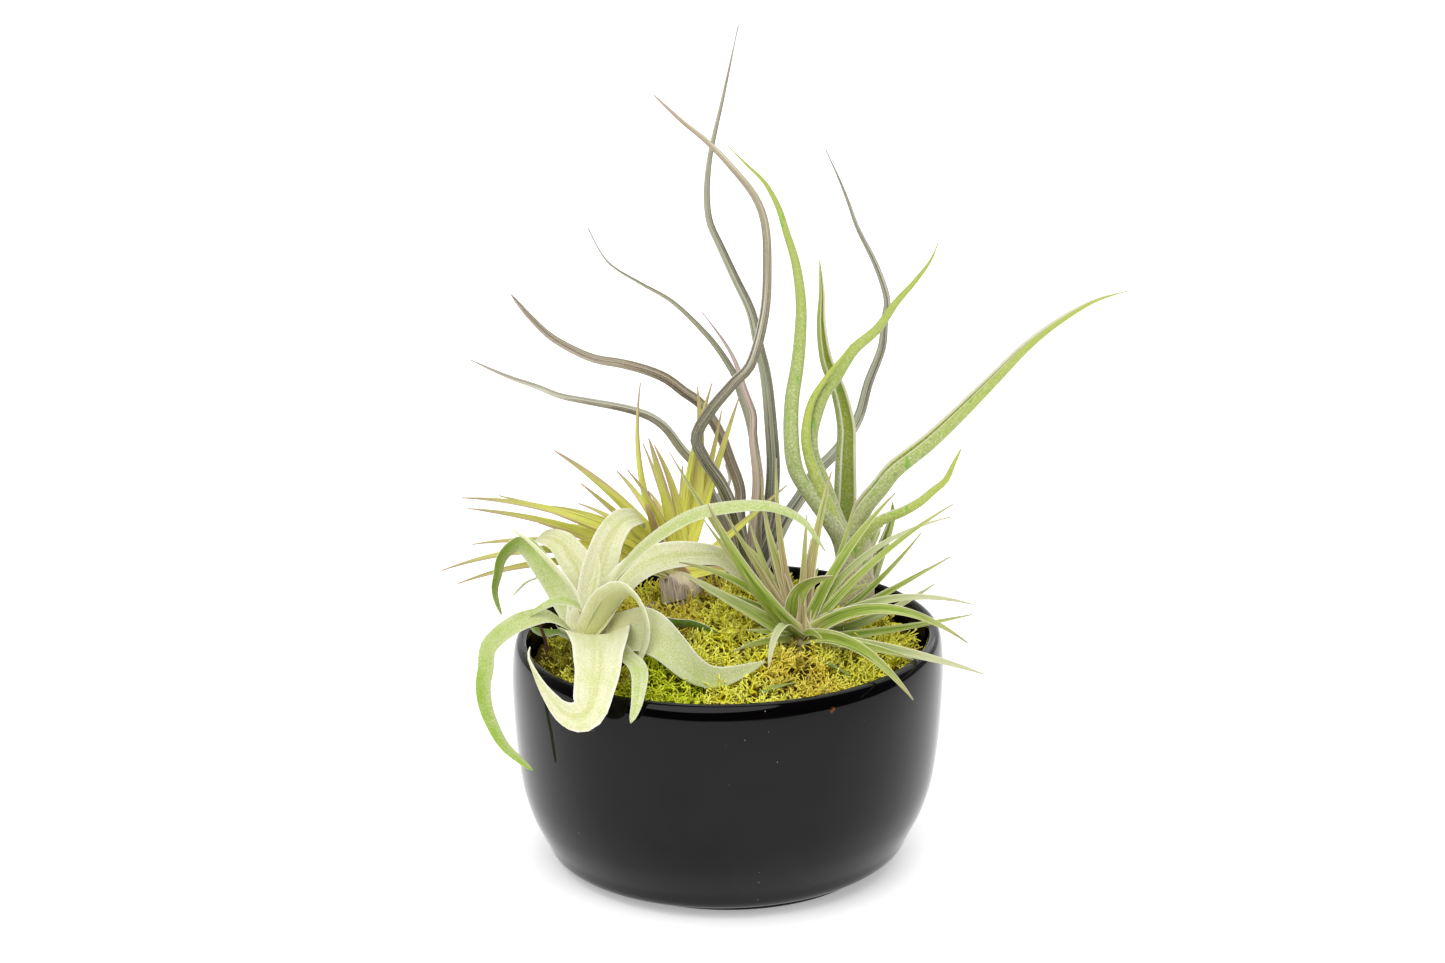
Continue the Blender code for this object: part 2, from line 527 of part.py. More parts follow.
def make_plants():
    make_plant("wiry_plant", waypoint_leaves(WIRY_LEAVES, WIRY_SPACING, ROUND))
    make_plant("tentacle_plant", waypoint_leaves(
        TENTACLE_LEAVES, TENTACLE_SPACING, FLAT, TENTACLE_THICKNESS, TENTACLE_CUP))
    make_plant("ribbon_plant", waypoint_leaves(
        RIBBON_LEAVES, RIBBON_SPACING, FLAT, RIBBON_THICKNESS, RIBBON_CUP))
    blades = list(bowed_blades(SPIKY_BLADES))
    blades += waypoint_leaves([SPIKY_BUD], RIBBON_SPACING, KEEL, BLADE_THICKNESS, BLADE_CUP)
    make_plant("spiky_plant", blades)
    blades = list(bowed_blades(TUFTED_BLADES))
    blades += waypoint_leaves([TUFTED_FALLING], RIBBON_SPACING, KEEL, BLADE_THICKNESS, BLADE_CUP)
    make_plant("tufted_plant", blades)


def make_loose_bits():
    path = smooth_path([Vector(point) * MM for point in TWIG_PATH], BIT_SPACING * MM)
    finish(object_from(leaf_mesh(path, ROUND, TWIG_WIDTH * MM, TWIG_TAPER, (0, 0)), "dry_twig"))
    for name, (width, points) in SCRAPS.items():
        lying = [Vector((x, y, moss_height(x, y) + SCRAP_LIFT)) * MM for x, y in points]
        bm = leaf_mesh(smooth_path(lying, BIT_SPACING * MM), KEEL, width * MM, SCRAP_TAPER, (0, 0),
                       SCRAP_THICKNESS * MM, SCRAP_CUP)
        finish(object_from(bm, name))


def in_a_hole(point):
    """Whether the point is over one of the plants' holes, where no moss can touch a leaf."""
    return any(math.hypot(point.x / MM - HEARTS[name][0], point.y / MM - HEARTS[name][1])
               < CORES[name][0] + HOLE_CLEARANCE for name in HEARTS)


def low_leaf_points():
    """A search tree of points along the leaf edges, seen from above, and the height of each."""
    points = []
    for made in bpy.context.scene.objects:
        if made.name in ("bowl", "filler"):
            continue
        corners = [vert.co for vert in made.data.vertices]
        points += [corners[start].lerp(corners[end], step / EDGE_POINTS)
                   for start, end in (edge.vertices for edge in made.data.edges)
                   for step in range(EDGE_POINTS + 1)]
    points = [point for point in points
              if point.xy.length < (MOSS_RADIUS + LEAF_REACH) * MM and not in_a_hole(point)]
    tree = kdtree.KDTree(len(points))
    for number, point in enumerate(points):
        tree.insert((point.x, point.y, 0), number)
    tree.balance()
    return tree, [point.z for point in points]


def moss_height(x, y):
    """The lumpy top of the moss bed, in millimetres."""
    height = MOSS_EDGE_HEIGHT + MOSS_CROWN * (1 - (x * x + y * y) / MOSS_RADIUS ** 2) + MOSS_LEAN * x
    height -= MOSS_SIDE_DIP * (x / MOSS_RADIUS) ** 4
    mound_x, mound_y, spread, rise = MOSS_MOUND
    height += rise * math.exp(-((x - mound_x) ** 2 + (y - mound_y) ** 2) / spread ** 2)
    for size, amount in (MOSS_LUMP, MOSS_CRUMB):
        height += amount * noise.noise(Vector((x / size, y / size, size)))
    return height


def moss_sheet():
    """The bed's top as a round grid, pressed down under the low leaves."""
    tree, heights = low_leaf_points()
    bm = bmesh.new()
    bmesh.ops.create_grid(bm, x_segments=MOSS_GRID, y_segments=MOSS_GRID, size=1.0)
    for vert in bm.verts:
        x, y = vert.co.x, vert.co.y
        x, y = (MOSS_RADIUS * x * math.sqrt(1 - y * y / 2), MOSS_RADIUS * y * math.sqrt(1 - x * x / 2))
        top = moss_height(x, y)
        near = tree.find_range((x * MM, y * MM, 0), LEAF_REACH * MM)
        for _, number, _ in near:
            top = min(top, heights[number] / MM - LEAF_CLEARANCE)
        vert.co = Vector((x, y, max(top, MOSS_LOWEST))) * MM
    return bm


def moss_clump(sheet, name):
    """The part of the bed that lies nearest to this clump's centre, with walls and a flat floor."""
    bm = sheet.copy()
    here = Vector((*MOSS_CLUMPS[name], 0)) * MM
    for other in MOSS_CLUMPS.values():
        there = Vector((*other, 0)) * MM
        if there == here:
            continue
        towards = (there - here).normalized()
        border = (here + there) / 2 - towards * GAP / 2
        bmesh.ops.bisect_plane(bm, geom=bm.verts[:] + bm.edges[:] + bm.faces[:], dist=1e-7,
                               plane_co=border, plane_no=towards, clear_outer=True)
    rim = [edge for edge in bm.edges if edge.is_boundary]
    walls = bmesh.ops.extrude_edge_only(bm, edges=rim)["geom"]
    for vert in (item for item in walls if isinstance(item, bmesh.types.BMVert)):
        vert.co.z = MOSS_FLOOR * MM
    bmesh.ops.holes_fill(bm, edges=[edge for edge in bm.edges if edge.is_boundary], sides=0)
    return object_from(bm, name)


def hole_cutters():
    """Plain round holes through the moss for the plants' stubs, and a small one for the twig."""
    cutters = bpy.data.collections.new("moss_holes")
    bpy.context.scene.collection.children.link(cutters)
    holes = [(*HEARTS[name][:2], CORES[name][0] + HOLE_CLEARANCE, HOLE_BOTTOM) for name in HEARTS]
    holes.append((*TWIG_PATH[0][:2], TWIG_HOLE_RADIUS, TWIG_HOLE_FLOOR))
    for number, (x, y, radius, bottom) in enumerate(holes):
        bm = bmesh.new()
        place = Matrix.Translation(Vector((x, y, (bottom + HOLE_TOP) / 2)) * MM)
        bmesh.ops.create_cone(bm, cap_ends=True, segments=CORE_SIDES, radius1=radius * MM,
                              radius2=radius * MM, depth=(HOLE_TOP - bottom) * MM, matrix=place)
        cutter = object_from(bm, f"moss_hole_{number}", cutters)
        cutter.hide_render = True
        cutter.display_type = "WIRE"
    return cutters


def make_moss():
    sheet = moss_sheet()
    cutters = hole_cutters()
    for name in MOSS_CLUMPS:
        clump = moss_clump(sheet, name)
        finish(clump)
        holes = clump.modifiers.new("holes", "BOOLEAN")
        holes.operation = "DIFFERENCE"
        holes.operand_type = "COLLECTION"
        holes.collection = cutters
        holes.solver = "EXACT"
    sheet.free()


clear_scene()
make_bowl()
make_filler()
make_plants()
make_loose_bits()
make_moss()
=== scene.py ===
import math
import random

import bmesh
import bpy
import numpy as np
from mathutils import Matrix, Vector, noise
from mathutils.bvhtree import BVHTree
from mathutils.geometry import interpolate_bezier


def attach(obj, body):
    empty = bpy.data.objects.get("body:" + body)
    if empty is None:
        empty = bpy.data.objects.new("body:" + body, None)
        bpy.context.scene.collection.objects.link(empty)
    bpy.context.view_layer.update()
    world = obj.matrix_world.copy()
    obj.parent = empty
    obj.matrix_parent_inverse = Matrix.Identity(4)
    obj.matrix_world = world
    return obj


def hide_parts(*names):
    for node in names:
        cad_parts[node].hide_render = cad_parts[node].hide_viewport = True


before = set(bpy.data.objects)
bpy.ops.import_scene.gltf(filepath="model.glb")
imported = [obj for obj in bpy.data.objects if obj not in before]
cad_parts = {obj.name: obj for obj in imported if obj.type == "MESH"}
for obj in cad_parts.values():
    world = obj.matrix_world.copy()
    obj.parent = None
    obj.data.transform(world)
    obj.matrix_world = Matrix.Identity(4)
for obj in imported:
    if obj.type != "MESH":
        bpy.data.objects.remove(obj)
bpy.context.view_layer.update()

# Bowl: one thrown ceramic shell on a low set-in foot, with a rounded lip, not quite level. It is
# dipped in glossy black glaze that thins to brown at one spot on the lip, and is a little dusty,
# with a pale haze that fades out near the lip as painted shade for the dark reflection there.
MM = 0.001
BOWL_TURNS = 144
FOOT_RADIUS = 59.0
FOOT_EDGE = 0.6
FOOT_TOP = 1.2
BOWL_OUTSIDE = (
    (63.0, 1.8), (67.6, 3.2), (69.5, 5.5), (71.0, 9.0), (73.8, 14.5), (76.6, 21.0), (79.2, 30.5),
    (80.9, 43.0), (81.9, 56.0), (82.4, 68.0), (82.4, 75.0), (82.0, 80.5), (81.3, 84.5),
)
BOWL_LIP = ((80.3, 86.9), (79.0, 87.9), (77.6, 87.8), (76.6, 87.0), (76.2, 85.4))
BOWL_INSIDE = ((76.2, 80.0), (77.0, 70.0), (76.6, 44.0), (72.5, 24.0), (62.0, 9.5), (50.0, 6.0))
PROFILE_SPACING = 2.2
CURVE_STEPS = 12
FEWEST_STATIONS = 4
# The wall stands this much higher on its foot, and more to the right. The lean grows from nothing
# to all of it between these heights, outside and inside.
LEAN_RISE = 1.8
LEAN_SLOPE = 0.0228
LEAN_OUTSIDE = (FOOT_EDGE, 1.2)
LEAN_INSIDE = (44.0, 80.0)
INSIDE_MARGIN = 0.4
# The spot on the lip's front where the glaze is thin, in metres.
THIN_PATCH = (0.0378, -0.0728, 0.0853)
GRAIN_ROUGHNESS = 0.55


def srgb(red, green, blue):
    """A colour read as 0-255 values, made linear."""
    return tuple((c / 12.92 if c <= 0.04045 else ((c + 0.055) / 1.055) ** 2.4)
                 for c in (red / 255, green / 255, blue / 255))


class Nodes:
    """A node tree, with short calls that add nodes to it and wire them together."""

    def __init__(self, tree):
        self.tree = tree

    def put(self, socket, value):
        """Wires another node's output into the socket, or sets the socket to a plain value."""
        if isinstance(value, bpy.types.NodeSocket):
            self.tree.links.new(value, socket)
        elif isinstance(value, tuple) and len(value) == 3 and socket.type == "RGBA":
            socket.default_value = (*value, 1)
        else:
            socket.default_value = value

    def add(self, kind, output=0, inputs=None, **settings):
        """Adds a node of this kind, sets it, wires its inputs, and gives one of its outputs."""
        node = self.tree.nodes.new("ShaderNode" + kind)
        for name, value in settings.items():
            setattr(node, name, value)
        for key, value in (inputs or {}).items():
            self.put(node.inputs[key], value)
        return node.outputs[output]

    def place(self, stretch=(1, 1, 1)):
        """Object coordinates, closer together along an axis where its stretch is larger."""
        where = self.add("TexCoord", "Object")
        return self.add("Mapping", inputs={"Vector": where, "Scale": stretch})

    def attribute(self, name, output="Fac"):
        return self.add("Attribute", output, attribute_name=name)

    def grain(self, place, size, detail):
        """Cloudy noise whose blotches are about this many metres across."""
        return self.add("TexNoise", inputs={"Vector": place, "Scale": 1 / size, "Detail": detail,
                                            "Roughness": GRAIN_ROUGHNESS})

    def cells(self, place, size):
        """Distance to the nearest of many scattered points, about this many metres apart."""
        return self.add("TexVoronoi", "Distance", {"Vector": place, "Scale": 1 / size})

    def span(self, value, low, high, to_low=0.0, to_high=1.0):
        """Maps low..high onto to_low..to_high, and stops at both ends."""
        return self.add("MapRange", inputs={"Value": value, "From Min": low, "From Max": high,
                                            "To Min": to_low, "To Max": to_high})

    def maths(self, operation, first, second=0.0):
        return self.add("Math", inputs={0: first, 1: second}, operation=operation)

    def times(self, first, second):
        return self.maths("MULTIPLY", first, second)

    def mix(self, share, first, second):
        """The second colour laid over the first by this share."""
        return self.add("Mix", 2, {0: share, 6: first, 7: second}, data_type="RGBA")

    def ramp(self, value, *stops):
        """A colour that runs through the stops, each a position, red, green and blue."""
        node = self.tree.nodes.new("ShaderNodeValToRGB")
        self.put(node.inputs[0], value)
        points = node.color_ramp.elements
        while len(points) < len(stops):
            points.new(0.5)
        for point, (position, *colour) in zip(points, stops):
            point.position = position
            point.color = (*srgb(*colour), 1)
        return node.outputs[0]


class Finish(Nodes):
    """One procedural finish, whose colour is laid on coat by coat."""

    def __init__(self, name, roughness):
        self.material = bpy.data.materials.new(name)
        self.material.use_nodes = True
        super().__init__(self.material.node_tree)
        self.colour = None
        self.shader = self.tree.nodes["Principled BSDF"]
        self.shader.inputs["Roughness"].default_value = roughness

    def set(self, **values):
        """Puts values on the shader: underscores stand for the spaces of a socket's name."""
        for name, value in values.items():
            self.put(self.shader.inputs[name.replace("_", " ")], value)

    def lay(self, share, over):
        """Lays another colour over the finish's colour by this share."""
        self.colour = self.mix(share, self.colour, over)

    def bump(self, height, depth):
        """Raises the surface by up to this depth, in metres, where the height is 1."""
        self.set(Normal=self.add("Bump", inputs={"Height": height, "Distance": depth, "Strength": 1}))


def smooth_path(points, spacing):
    """Stations on a smooth curve through the points, evenly spaced at about this distance."""
    dense = [points[0]]
    for k in range(len(points) - 1):
        start, end = points[k], points[k + 1]
        leave = start + (end - points[max(k - 1, 0)]) / 6
        arrive = end - (points[min(k + 2, len(points) - 1)] - start) / 6
        dense += interpolate_bezier(start, leave, arrive, end, CURVE_STEPS)[1:]
    dense = np.array(dense)
    run = np.concatenate([[0], np.cumsum(np.linalg.norm(np.diff(dense, axis=0), axis=1))])
    wanted = np.linspace(0, run[-1], max(FEWEST_STATIONS, round(run[-1] / spacing) + 1))
    return [Vector(point) for point in zip(*(np.interp(wanted, run, column) for column in dense.T))]


def add_piece(bm, name, finish, slot, *nodes):
    """Makes the mesh a piece of the object, in place of these CAD nodes."""
    mesh = bpy.data.meshes.new(name)
    bm.to_mesh(mesh)
    bm.free()
    mesh.materials.append(finish.material)
    mesh.shade_smooth()
    piece = bpy.data.objects.new(name, mesh)
    bpy.context.scene.collection.objects.link(piece)
    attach(piece, "root")
    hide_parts(*nodes)


def turned_shell(profile, turns):
    """A closed solid of revolution about +Z from (radius, height) points in millimetres."""
    bm = bmesh.new()
    points = [bm.verts.new((radius * MM, 0, height * MM)) for radius, height in profile]
    edges = [bm.edges.new(pair) for pair in zip(points, points[1:])]
    bmesh.ops.spin(bm, geom=points + edges, axis=(0, 0, 1), cent=(0, 0, 0), angle=math.tau,
                   steps=turns, use_merge=True)
    bmesh.ops.remove_doubles(bm, verts=bm.verts, dist=0.01 * MM)
    bmesh.ops.recalc_face_normals(bm, faces=bm.faces)
    return bm


def lean(bm):
    """Raises the bowl's wall and lip over its foot, more on the right."""
    radii, heights = zip(*BOWL_INSIDE[::-1])
    for vert in bm.verts:
        height = vert.co.z / MM
        inside = vert.co.xy.length / MM < np.interp(height, heights, radii, left=0) + INSIDE_MARGIN
        low, high = LEAN_INSIDE if inside else LEAN_OUTSIDE
        share = min(max((height - low) / (high - low), 0), 1)
        vert.co.z += share * (LEAN_RISE * MM + LEAN_SLOPE * vert.co.x)
    return bm


glaze = Finish("black_glaze", 0.07)
where = glaze.place()
smudges = glaze.grain(where, 0.026, 4)
dust = glaze.cells(where, 0.0055)
height = glaze.add("SeparateXYZ", "Z", {0: where})
from_patch = glaze.add("VectorMath", "Value", {0: where, 1: THIN_PATCH}, operation="DISTANCE")
thin_glaze = glaze.times(glaze.span(from_patch, 0.0014, 0.0005),
                         glaze.span(glaze.grain(where, 0.003, 2), 0.42, 0.56))
speck = glaze.times(glaze.span(dust, 0.05, 0.03), glaze.span(smudges, 0.52, 0.6))
# The pale haze fades out towards the lip: painted shade for the dark reflection under the lip.
haze_and_painted_dark_lip = glaze.times(glaze.span(smudges, 0.4, 0.62), glaze.span(height, 0.085, 0.03, 0.05, 1))
glaze.colour = glaze.mix(haze_and_painted_dark_lip, srgb(2, 1, 2), srgb(12, 11, 12))
glaze.lay(thin_glaze, srgb(138, 72, 28))
glaze.lay(speck, srgb(120, 120, 118))
glaze.set(Base_Color=glaze.colour, Roughness=glaze.span(smudges, 0.35, 0.7, 0.04, 0.09), IOR=1.31)
glaze.bump(glaze.grain(where, 0.018, 2), 0.00004)

curve = [Vector((radius, height, 0)) for radius, height in BOWL_OUTSIDE + BOWL_LIP + BOWL_INSIDE]
shell = [(0, 0), (FOOT_RADIUS - FOOT_EDGE, 0), (FOOT_RADIUS, FOOT_EDGE), (FOOT_RADIUS, FOOT_TOP)]
shell += [(point.x, point.y) for point in smooth_path(curve, PROFILE_SPACING)]
shell += [(0, BOWL_INSIDE[-1][1])]
add_piece(lean(turned_shell(shell, BOWL_TURNS)), "glazed_bowl", glaze, "black_glaze", "bowl")

# Filler: loose dry bark chips poured into the bowl up to a level bed. The moss and the plants
# stand on it, and it shows only down the holes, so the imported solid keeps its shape.
bark = Finish("filler_bark", 0.9)
where = bark.place()
chip = bark.cells(where, 0.006)
fibre = bark.grain(bark.place((1, 1, 4)), 0.004, 4)
# The chips are darkest at their edges: painted shade in the gaps between them.
bark.colour = bark.ramp(chip, (0.1, 120, 88, 60), (0.5, 84, 58, 38), (0.8, 34, 24, 17))
bark.lay(bark.span(fibre, 0.4, 0.7), srgb(140, 112, 82))
bark.set(Base_Color=bark.colour)
bark.bump(chip, 0.0012)
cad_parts["filler"].material_slots[0].material = bark.material

# Wiry plant: long whip-like leaves that narrow to a thread, each with a groove along its upper
# side. They grow from one stub and are grey-green to purple-brown, with fine pale lines.
# Where each plant's leaves start, in millimetres.
HEARTS = {
    "wiry_plant": (8, 48, 90),
    "tentacle_plant": (50, 38, 90),
    "ribbon_plant": (-53, -14, 90),
    "spiky_plant": (-18, 38, 98),
    "tufted_plant": (28, -10, 89),
}
FILLER_TOP = 70.0
TIP_WIDTH = 0.45
# Tints go in this step from leaf to leaf, and the tint shifts the fine lines by this much.
TINT_STEP = 0.37
TINT_SHIFT = 37.0
# A stub's ribs, as a share of its radius, how far up its domed top begins, and how blunt it is.
STUB_SIDES = 24
STUB_RIBS = 5
STUB_RIB_DEPTH = 0.06
STUB_DOME = 0.8
STUB_BLUNTNESS = 0.05
WIRY_SPACING = 3.0
# Each leaf: greatest width, how fast it tapers, how far it's turned about its own length at even
# steps along it, and the points that its middle passes through, in millimetres from the heart.
WIRY_LEAVES = (
    (5.6, 0.45, (0, 0),
     ((-1, -2, 12), (-5, -8, 31), (-10, -15, 47), (-17, -21, 60), (-20, -23, 69), (-15, -23, 79),
      (-6, -22, 90), (1, -21, 98), (6, -18, 117), (7, -14, 136), (6, -11, 150), (2, -8, 160),
      (-7, -6, 171), (-16, -4, 180), (-25, -2, 187), (-36, 0, 197))),
    (6.8, 0.78, (0, 0),
     ((2, 5, 10), (8, 9, 25), (10, 10, 45), (9, 10, 64), (7, 8, 84), (4, 5, 98), (1, 3, 112),
      (-5, 3, 125), (-11, 4, 138), (-15, 6, 147), (-16, 8, 158), (-15, 10, 170), (-13, 12, 180),
      (-10, 12, 193), (-4, 9, 222))),
    (6.0, 0.33, (0, 0),
     ((-1, 5, 10), (-3, 8, 26), (-3, 9, 38), (-7, 10, 50), (-11, 10, 61), (-18, 8, 73),
      (-25, 6, 79), (-32, 4, 85), (-40, 2, 89), (-49, 0, 92), (-61, -2, 95), (-75, -4, 103),
      (-84, -5, 112), (-91, -6, 121))),
    (6.0, 0.55, (0, 0),
     ((-4, 3, 11), (-8, 7, 22), (-13, 10, 33), (-19, 10, 46), (-26, 8, 55), (-32, 6, 64),
      (-38, 5, 69), (-45, 4, 72), (-52, 3, 74), (-61, 2, 76), (-73, 0, 79), (-82, -1, 83),
      (-94, -3, 88), (-107, -6, 95))),
    (4.8, 0.8, (0, 0),
     ((2, 9, 9), (4, 16, 27), (4, 20, 43), (1, 22, 61), (-3, 22, 74), (-5, 22, 81), (-12, 20, 93),
      (-20, 18, 103), (-30, 16, 113), (-41, 14, 120), (-52, 13, 127), (-57, 12, 133),
      (-62, 12, 143))),
    (7.0, 0.85, (0, 0),
     ((2, 2, 11), (3, 3, 27), (4, 5, 43), (2, 7, 60), (2, 8, 69), (-1, 9, 78), (-5, 10, 90),
      (-10, 10, 99), (-18, 10, 110))),
    (7.0, 0.72, (0, 0),
     ((5, 7, 5), (9, 11, 12), (15, 17, 23), (21, 21, 31), (27, 25, 40), (36, 28, 49), (44, 30, 61),
      (48, 30, 76), (53, 30, 90), (54, 30, 101), (55, 30, 109), (53, 30, 117), (49, 29, 127),
      (43, 28, 139), (39, 27, 150), (35, 26, 160), (30, 25, 171))),
    (5.0, 0.7, (0, 0),
     ((1, 6, 8), (-3, 14, 18), (-9, 23, 26), (-11, 33, 29), (-7, 42, 31), (-9, 50, 36))),
    (5.0, 0.7, (0, 0),
     ((4, 6, 6), (8, 15, 14), (11, 25, 22), (9, 34, 27), (12, 44, 29))),
)


def frames_along(path, turns):
    """One matrix for each station: X across the leaf, Y its upper face, Z along it. The turns are
    how far it's turned about its own length, in degrees, at even steps from root to tip."""
    last = len(path) - 1
    tangents = [(path[min(k + 1, last)] - path[max(k - 1, 0)]).normalized() for k in range(last + 1)]
    outward = path[last // 2] - path[0]
    across = Vector((-outward.y, outward.x, 0))
    across = (across - across.dot(tangents[0]) * tangents[0]).normalized()
    rolls = np.radians(np.interp(np.linspace(0, 1, last + 1), np.linspace(0, 1, len(turns)), turns))
    frames = []
    for k, tangent in enumerate(tangents):
        if k:
            across = tangents[k - 1].rotation_difference(tangent) @ across
        above = tangent.cross(across)
        turn = Matrix((across, above, tangent)).transposed().to_4x4()
        frames.append(Matrix.Translation(path[k]) @ turn @ Matrix.Rotation(rolls[k], 4, "Z"))
    return frames


def new_plant():
    """An empty mesh with the layers that the leaf finishes read: place on the leaf, and tint."""
    bm = bmesh.new()
    bm.verts.layers.float_vector.new("leaf")
    bm.verts.layers.float.new("tint")
    return bm


def wrap_grid(bm, sides, rings, tint, spot):
    """Adds a closed form: a grid wrapped round at every ring. The spot of a corner on a ring is
    its place in space, how far across the leaf it is, and on which side."""
    place, tints = bm.verts.layers.float_vector["leaf"], bm.verts.layers.float["tint"]
    grid = bmesh.ops.create_grid(bm, x_segments=sides, y_segments=rings, size=0.5)["verts"]
    for vert in grid:
        corner = round((vert.co.x + 0.5) * sides) % sides
        ring = round((vert.co.y + 0.5) * rings)
        vert.co, vert[place] = spot(corner, ring)
        vert[tints] = tint
    bmesh.ops.remove_doubles(bm, verts=grid, dist=0.0005 * MM)
    bmesh.ops.holes_fill(bm, edges=[edge for edge in bm.edges if edge.is_boundary], sides=0)


def grow_leaf(bm, frames, section, sides, tint):
    """Adds a leaf, with this section at every station of its path. The section gives x and y in
    metres, then how far across the leaf and on which side that is."""
    last = len(frames) - 1

    def spot(corner, station):
        x, y, across, side = section(corner, station / last)
        return frames[station] @ Vector((x, y, 0)), (station / last, across, side)

    wrap_grid(bm, sides, last, tint, spot)


def half_width(width, taper, share, root, root_share):
    """Half the width at a share of the length, in metres: the root's own width, then the taper."""
    whole = root + (1 - root) * min(share / root_share, 1)
    return max(width * whole * max(1 - share, 0) ** taper, TIP_WIDTH) * MM / 2


def leaf_path(points, spacing):
    return smooth_path([Vector((0, 0, 0))] + [Vector(point) * MM for point in points], spacing * MM)


def grow_stub(bm, foot, top, rise, z, rings=10):
    """The stub under the leaves, which stands on the filler: a ribbed cone with a domed top."""
    floor = (FILLER_TOP - z) * MM

    def spot(corner, ring):
        angle, share = math.tau * corner / STUB_SIDES, ring / rings
        rib = 1 + STUB_RIB_DEPTH * math.cos(STUB_RIBS * angle + 3 * share)
        dome = math.sqrt(1 - max(share - STUB_DOME, 0) ** 2 / STUB_BLUNTNESS)
        radius = (foot + (top - foot) * share) * MM * rib * dome
        height = floor + (rise * MM - floor) * share
        return (Vector((radius * math.cos(angle), radius * math.sin(angle), height)),
                (0.0, math.sin(STUB_RIBS * angle), -1))

    wrap_grid(bm, STUB_SIDES, rings, 0.5, spot)


def spread_tint(number):
    """A tint from 0 to 1, well apart from those of the leaves with the next numbers."""
    return number * TINT_STEP % 1


def plant_piece(bm, name, node, finish, slot):
    bmesh.ops.translate(bm, verts=bm.verts, vec=Vector(HEARTS[node]) * MM)
    bmesh.ops.recalc_face_normals(bm, faces=bm.faces)
    add_piece(bm, name, finish, slot, node)


class LeafFinish(Finish):
    """A leaf's finish, with its place on the leaf and the fine lines that run along it."""

    def __init__(self, name, roughness):
        super().__init__(name, roughness)
        leaf = self.attribute("leaf", "Vector")
        self.along, self.across, self.side = (
            self.add("SeparateXYZ", axis, {0: leaf}) for axis in "XYZ")
        self.tint = self.attribute("tint")
        self.edge = self.maths("ABSOLUTE", self.across)
        self.where = self.place()

    def lines(self, count, length, seed=0.0):
        """Streaks along the leaf: about this many across it, breaking up over its length."""
        across, along = self.times(self.across, count / 2), self.times(self.along, length)
        apart = self.add("Math", inputs={0: self.tint, 1: TINT_SHIFT, 2: seed},
                         operation="MULTIPLY_ADD")
        vector = self.add("CombineXYZ", inputs={"X": across, "Y": along, "Z": apart})
        return self.add("TexNoise", inputs={"Vector": vector, "Scale": 1.0, "Detail": 3.0,
                                            "Roughness": 0.6})


WIRY_SIDES = 14
WIRY_GROOVE = 0.55
WIRY_GROOVE_WIDTH = 0.42
WIRY_FLATNESS = 0.85
# How far each leaf is from brown, at 0, to grey-green, at 1. Past 1 it's flushed with mauve, and
# below 0 it stays dark brown to its tip.
WIRY_TINTS = (0.08, 0.62, -0.4, 0.8, 0.7, 1.5, 0.95, 0.4, 0.55)


def wiry_section(width, taper):
    """A round leaf with a groove along its upper side."""
    def section(corner, share):
        angle = math.tau * corner / WIRY_SIDES
        half = half_width(width, taper, share, root=1.15, root_share=0.1)
        across, level = math.cos(angle), math.sin(angle)
        groove = WIRY_GROOVE * math.exp(-(across / WIRY_GROOVE_WIDTH) ** 2) if level > 0 else 0
        return half * across, half * (WIRY_FLATNESS * level - groove), across, level
    return section


wiry = new_plant()
for (width, taper, turns, points), tint in zip(WIRY_LEAVES, WIRY_TINTS):
    path = leaf_path(points, WIRY_SPACING)
    grow_leaf(wiry, frames_along(path, turns), wiry_section(width, taper), WIRY_SIDES, tint)
grow_stub(wiry, foot=6.0, top=3.5, rise=9, z=90)

leaf = LeafFinish("wiry_leaf", 0.55)
lines = leaf.lines(13, 3)
brown = leaf.ramp(leaf.along, (0.0, 104, 100, 80), (0.15, 84, 82, 58), (0.35, 98, 94, 68),
                  (0.6, 138, 128, 104), (0.85, 186, 172, 138), (1.0, 184, 154, 130))
green = leaf.ramp(leaf.along, (0.0, 96, 98, 86), (0.14, 128, 132, 118), (0.35, 196, 204, 176),
                  (0.6, 166, 168, 140), (0.85, 136, 138, 110), (1.0, 152, 140, 136))
leaf.colour = leaf.mix(leaf.span(leaf.tint, 0.1, 0.9), brown, green)
leaf.lay(leaf.span(leaf.tint, 0.0, -0.4, 0, 0.85), srgb(142, 126, 98))
mauve = leaf.ramp(leaf.along, (0.0, 130, 118, 98), (0.4, 206, 182, 166), (1.0, 226, 196, 204))
leaf.lay(leaf.span(leaf.tint, 1.1, 1.4), mauve)
leaf.lay(leaf.span(leaf.edge, 0.5, 0.95, 0, 0.5), srgb(132, 112, 104))
# One side of each leaf is darker: painted shade on the side away from the light.
leaf.lay(leaf.span(leaf.across, -0.3, -0.85, 0, 0.5), srgb(66, 60, 44))
leaf.lay(leaf.span(lines, 0.52, 0.64, 0, 0.8), srgb(216, 214, 194))
leaf.lay(leaf.span(lines, 0.46, 0.35, 0, 0.85), srgb(70, 62, 46))
bloom = leaf.grain(leaf.where, 0.0006, 2)
leaf.lay(leaf.span(bloom, 0.5, 0.72, 0, 0.25), srgb(204, 204, 186))
leaf.set(Base_Color=leaf.colour, Sheen_Weight=0.15, Sheen_Roughness=0.5)
leaf.bump(lines, 0.00018)
plant_piece(wiry, "wiry_air_plant", "wiry_plant", leaf, "wiry_leaf")

# Tentacle-leaved plant: thick leaves rolled into open tubes, whose wide bases wrap each other
# in a pale column. They are green under a bloom of silvery scales, rubbed off in patches.
TENTACLE_SPACING = 2.6
TENTACLE_WALL = 1.1
TENTACLE_SIDES = 20
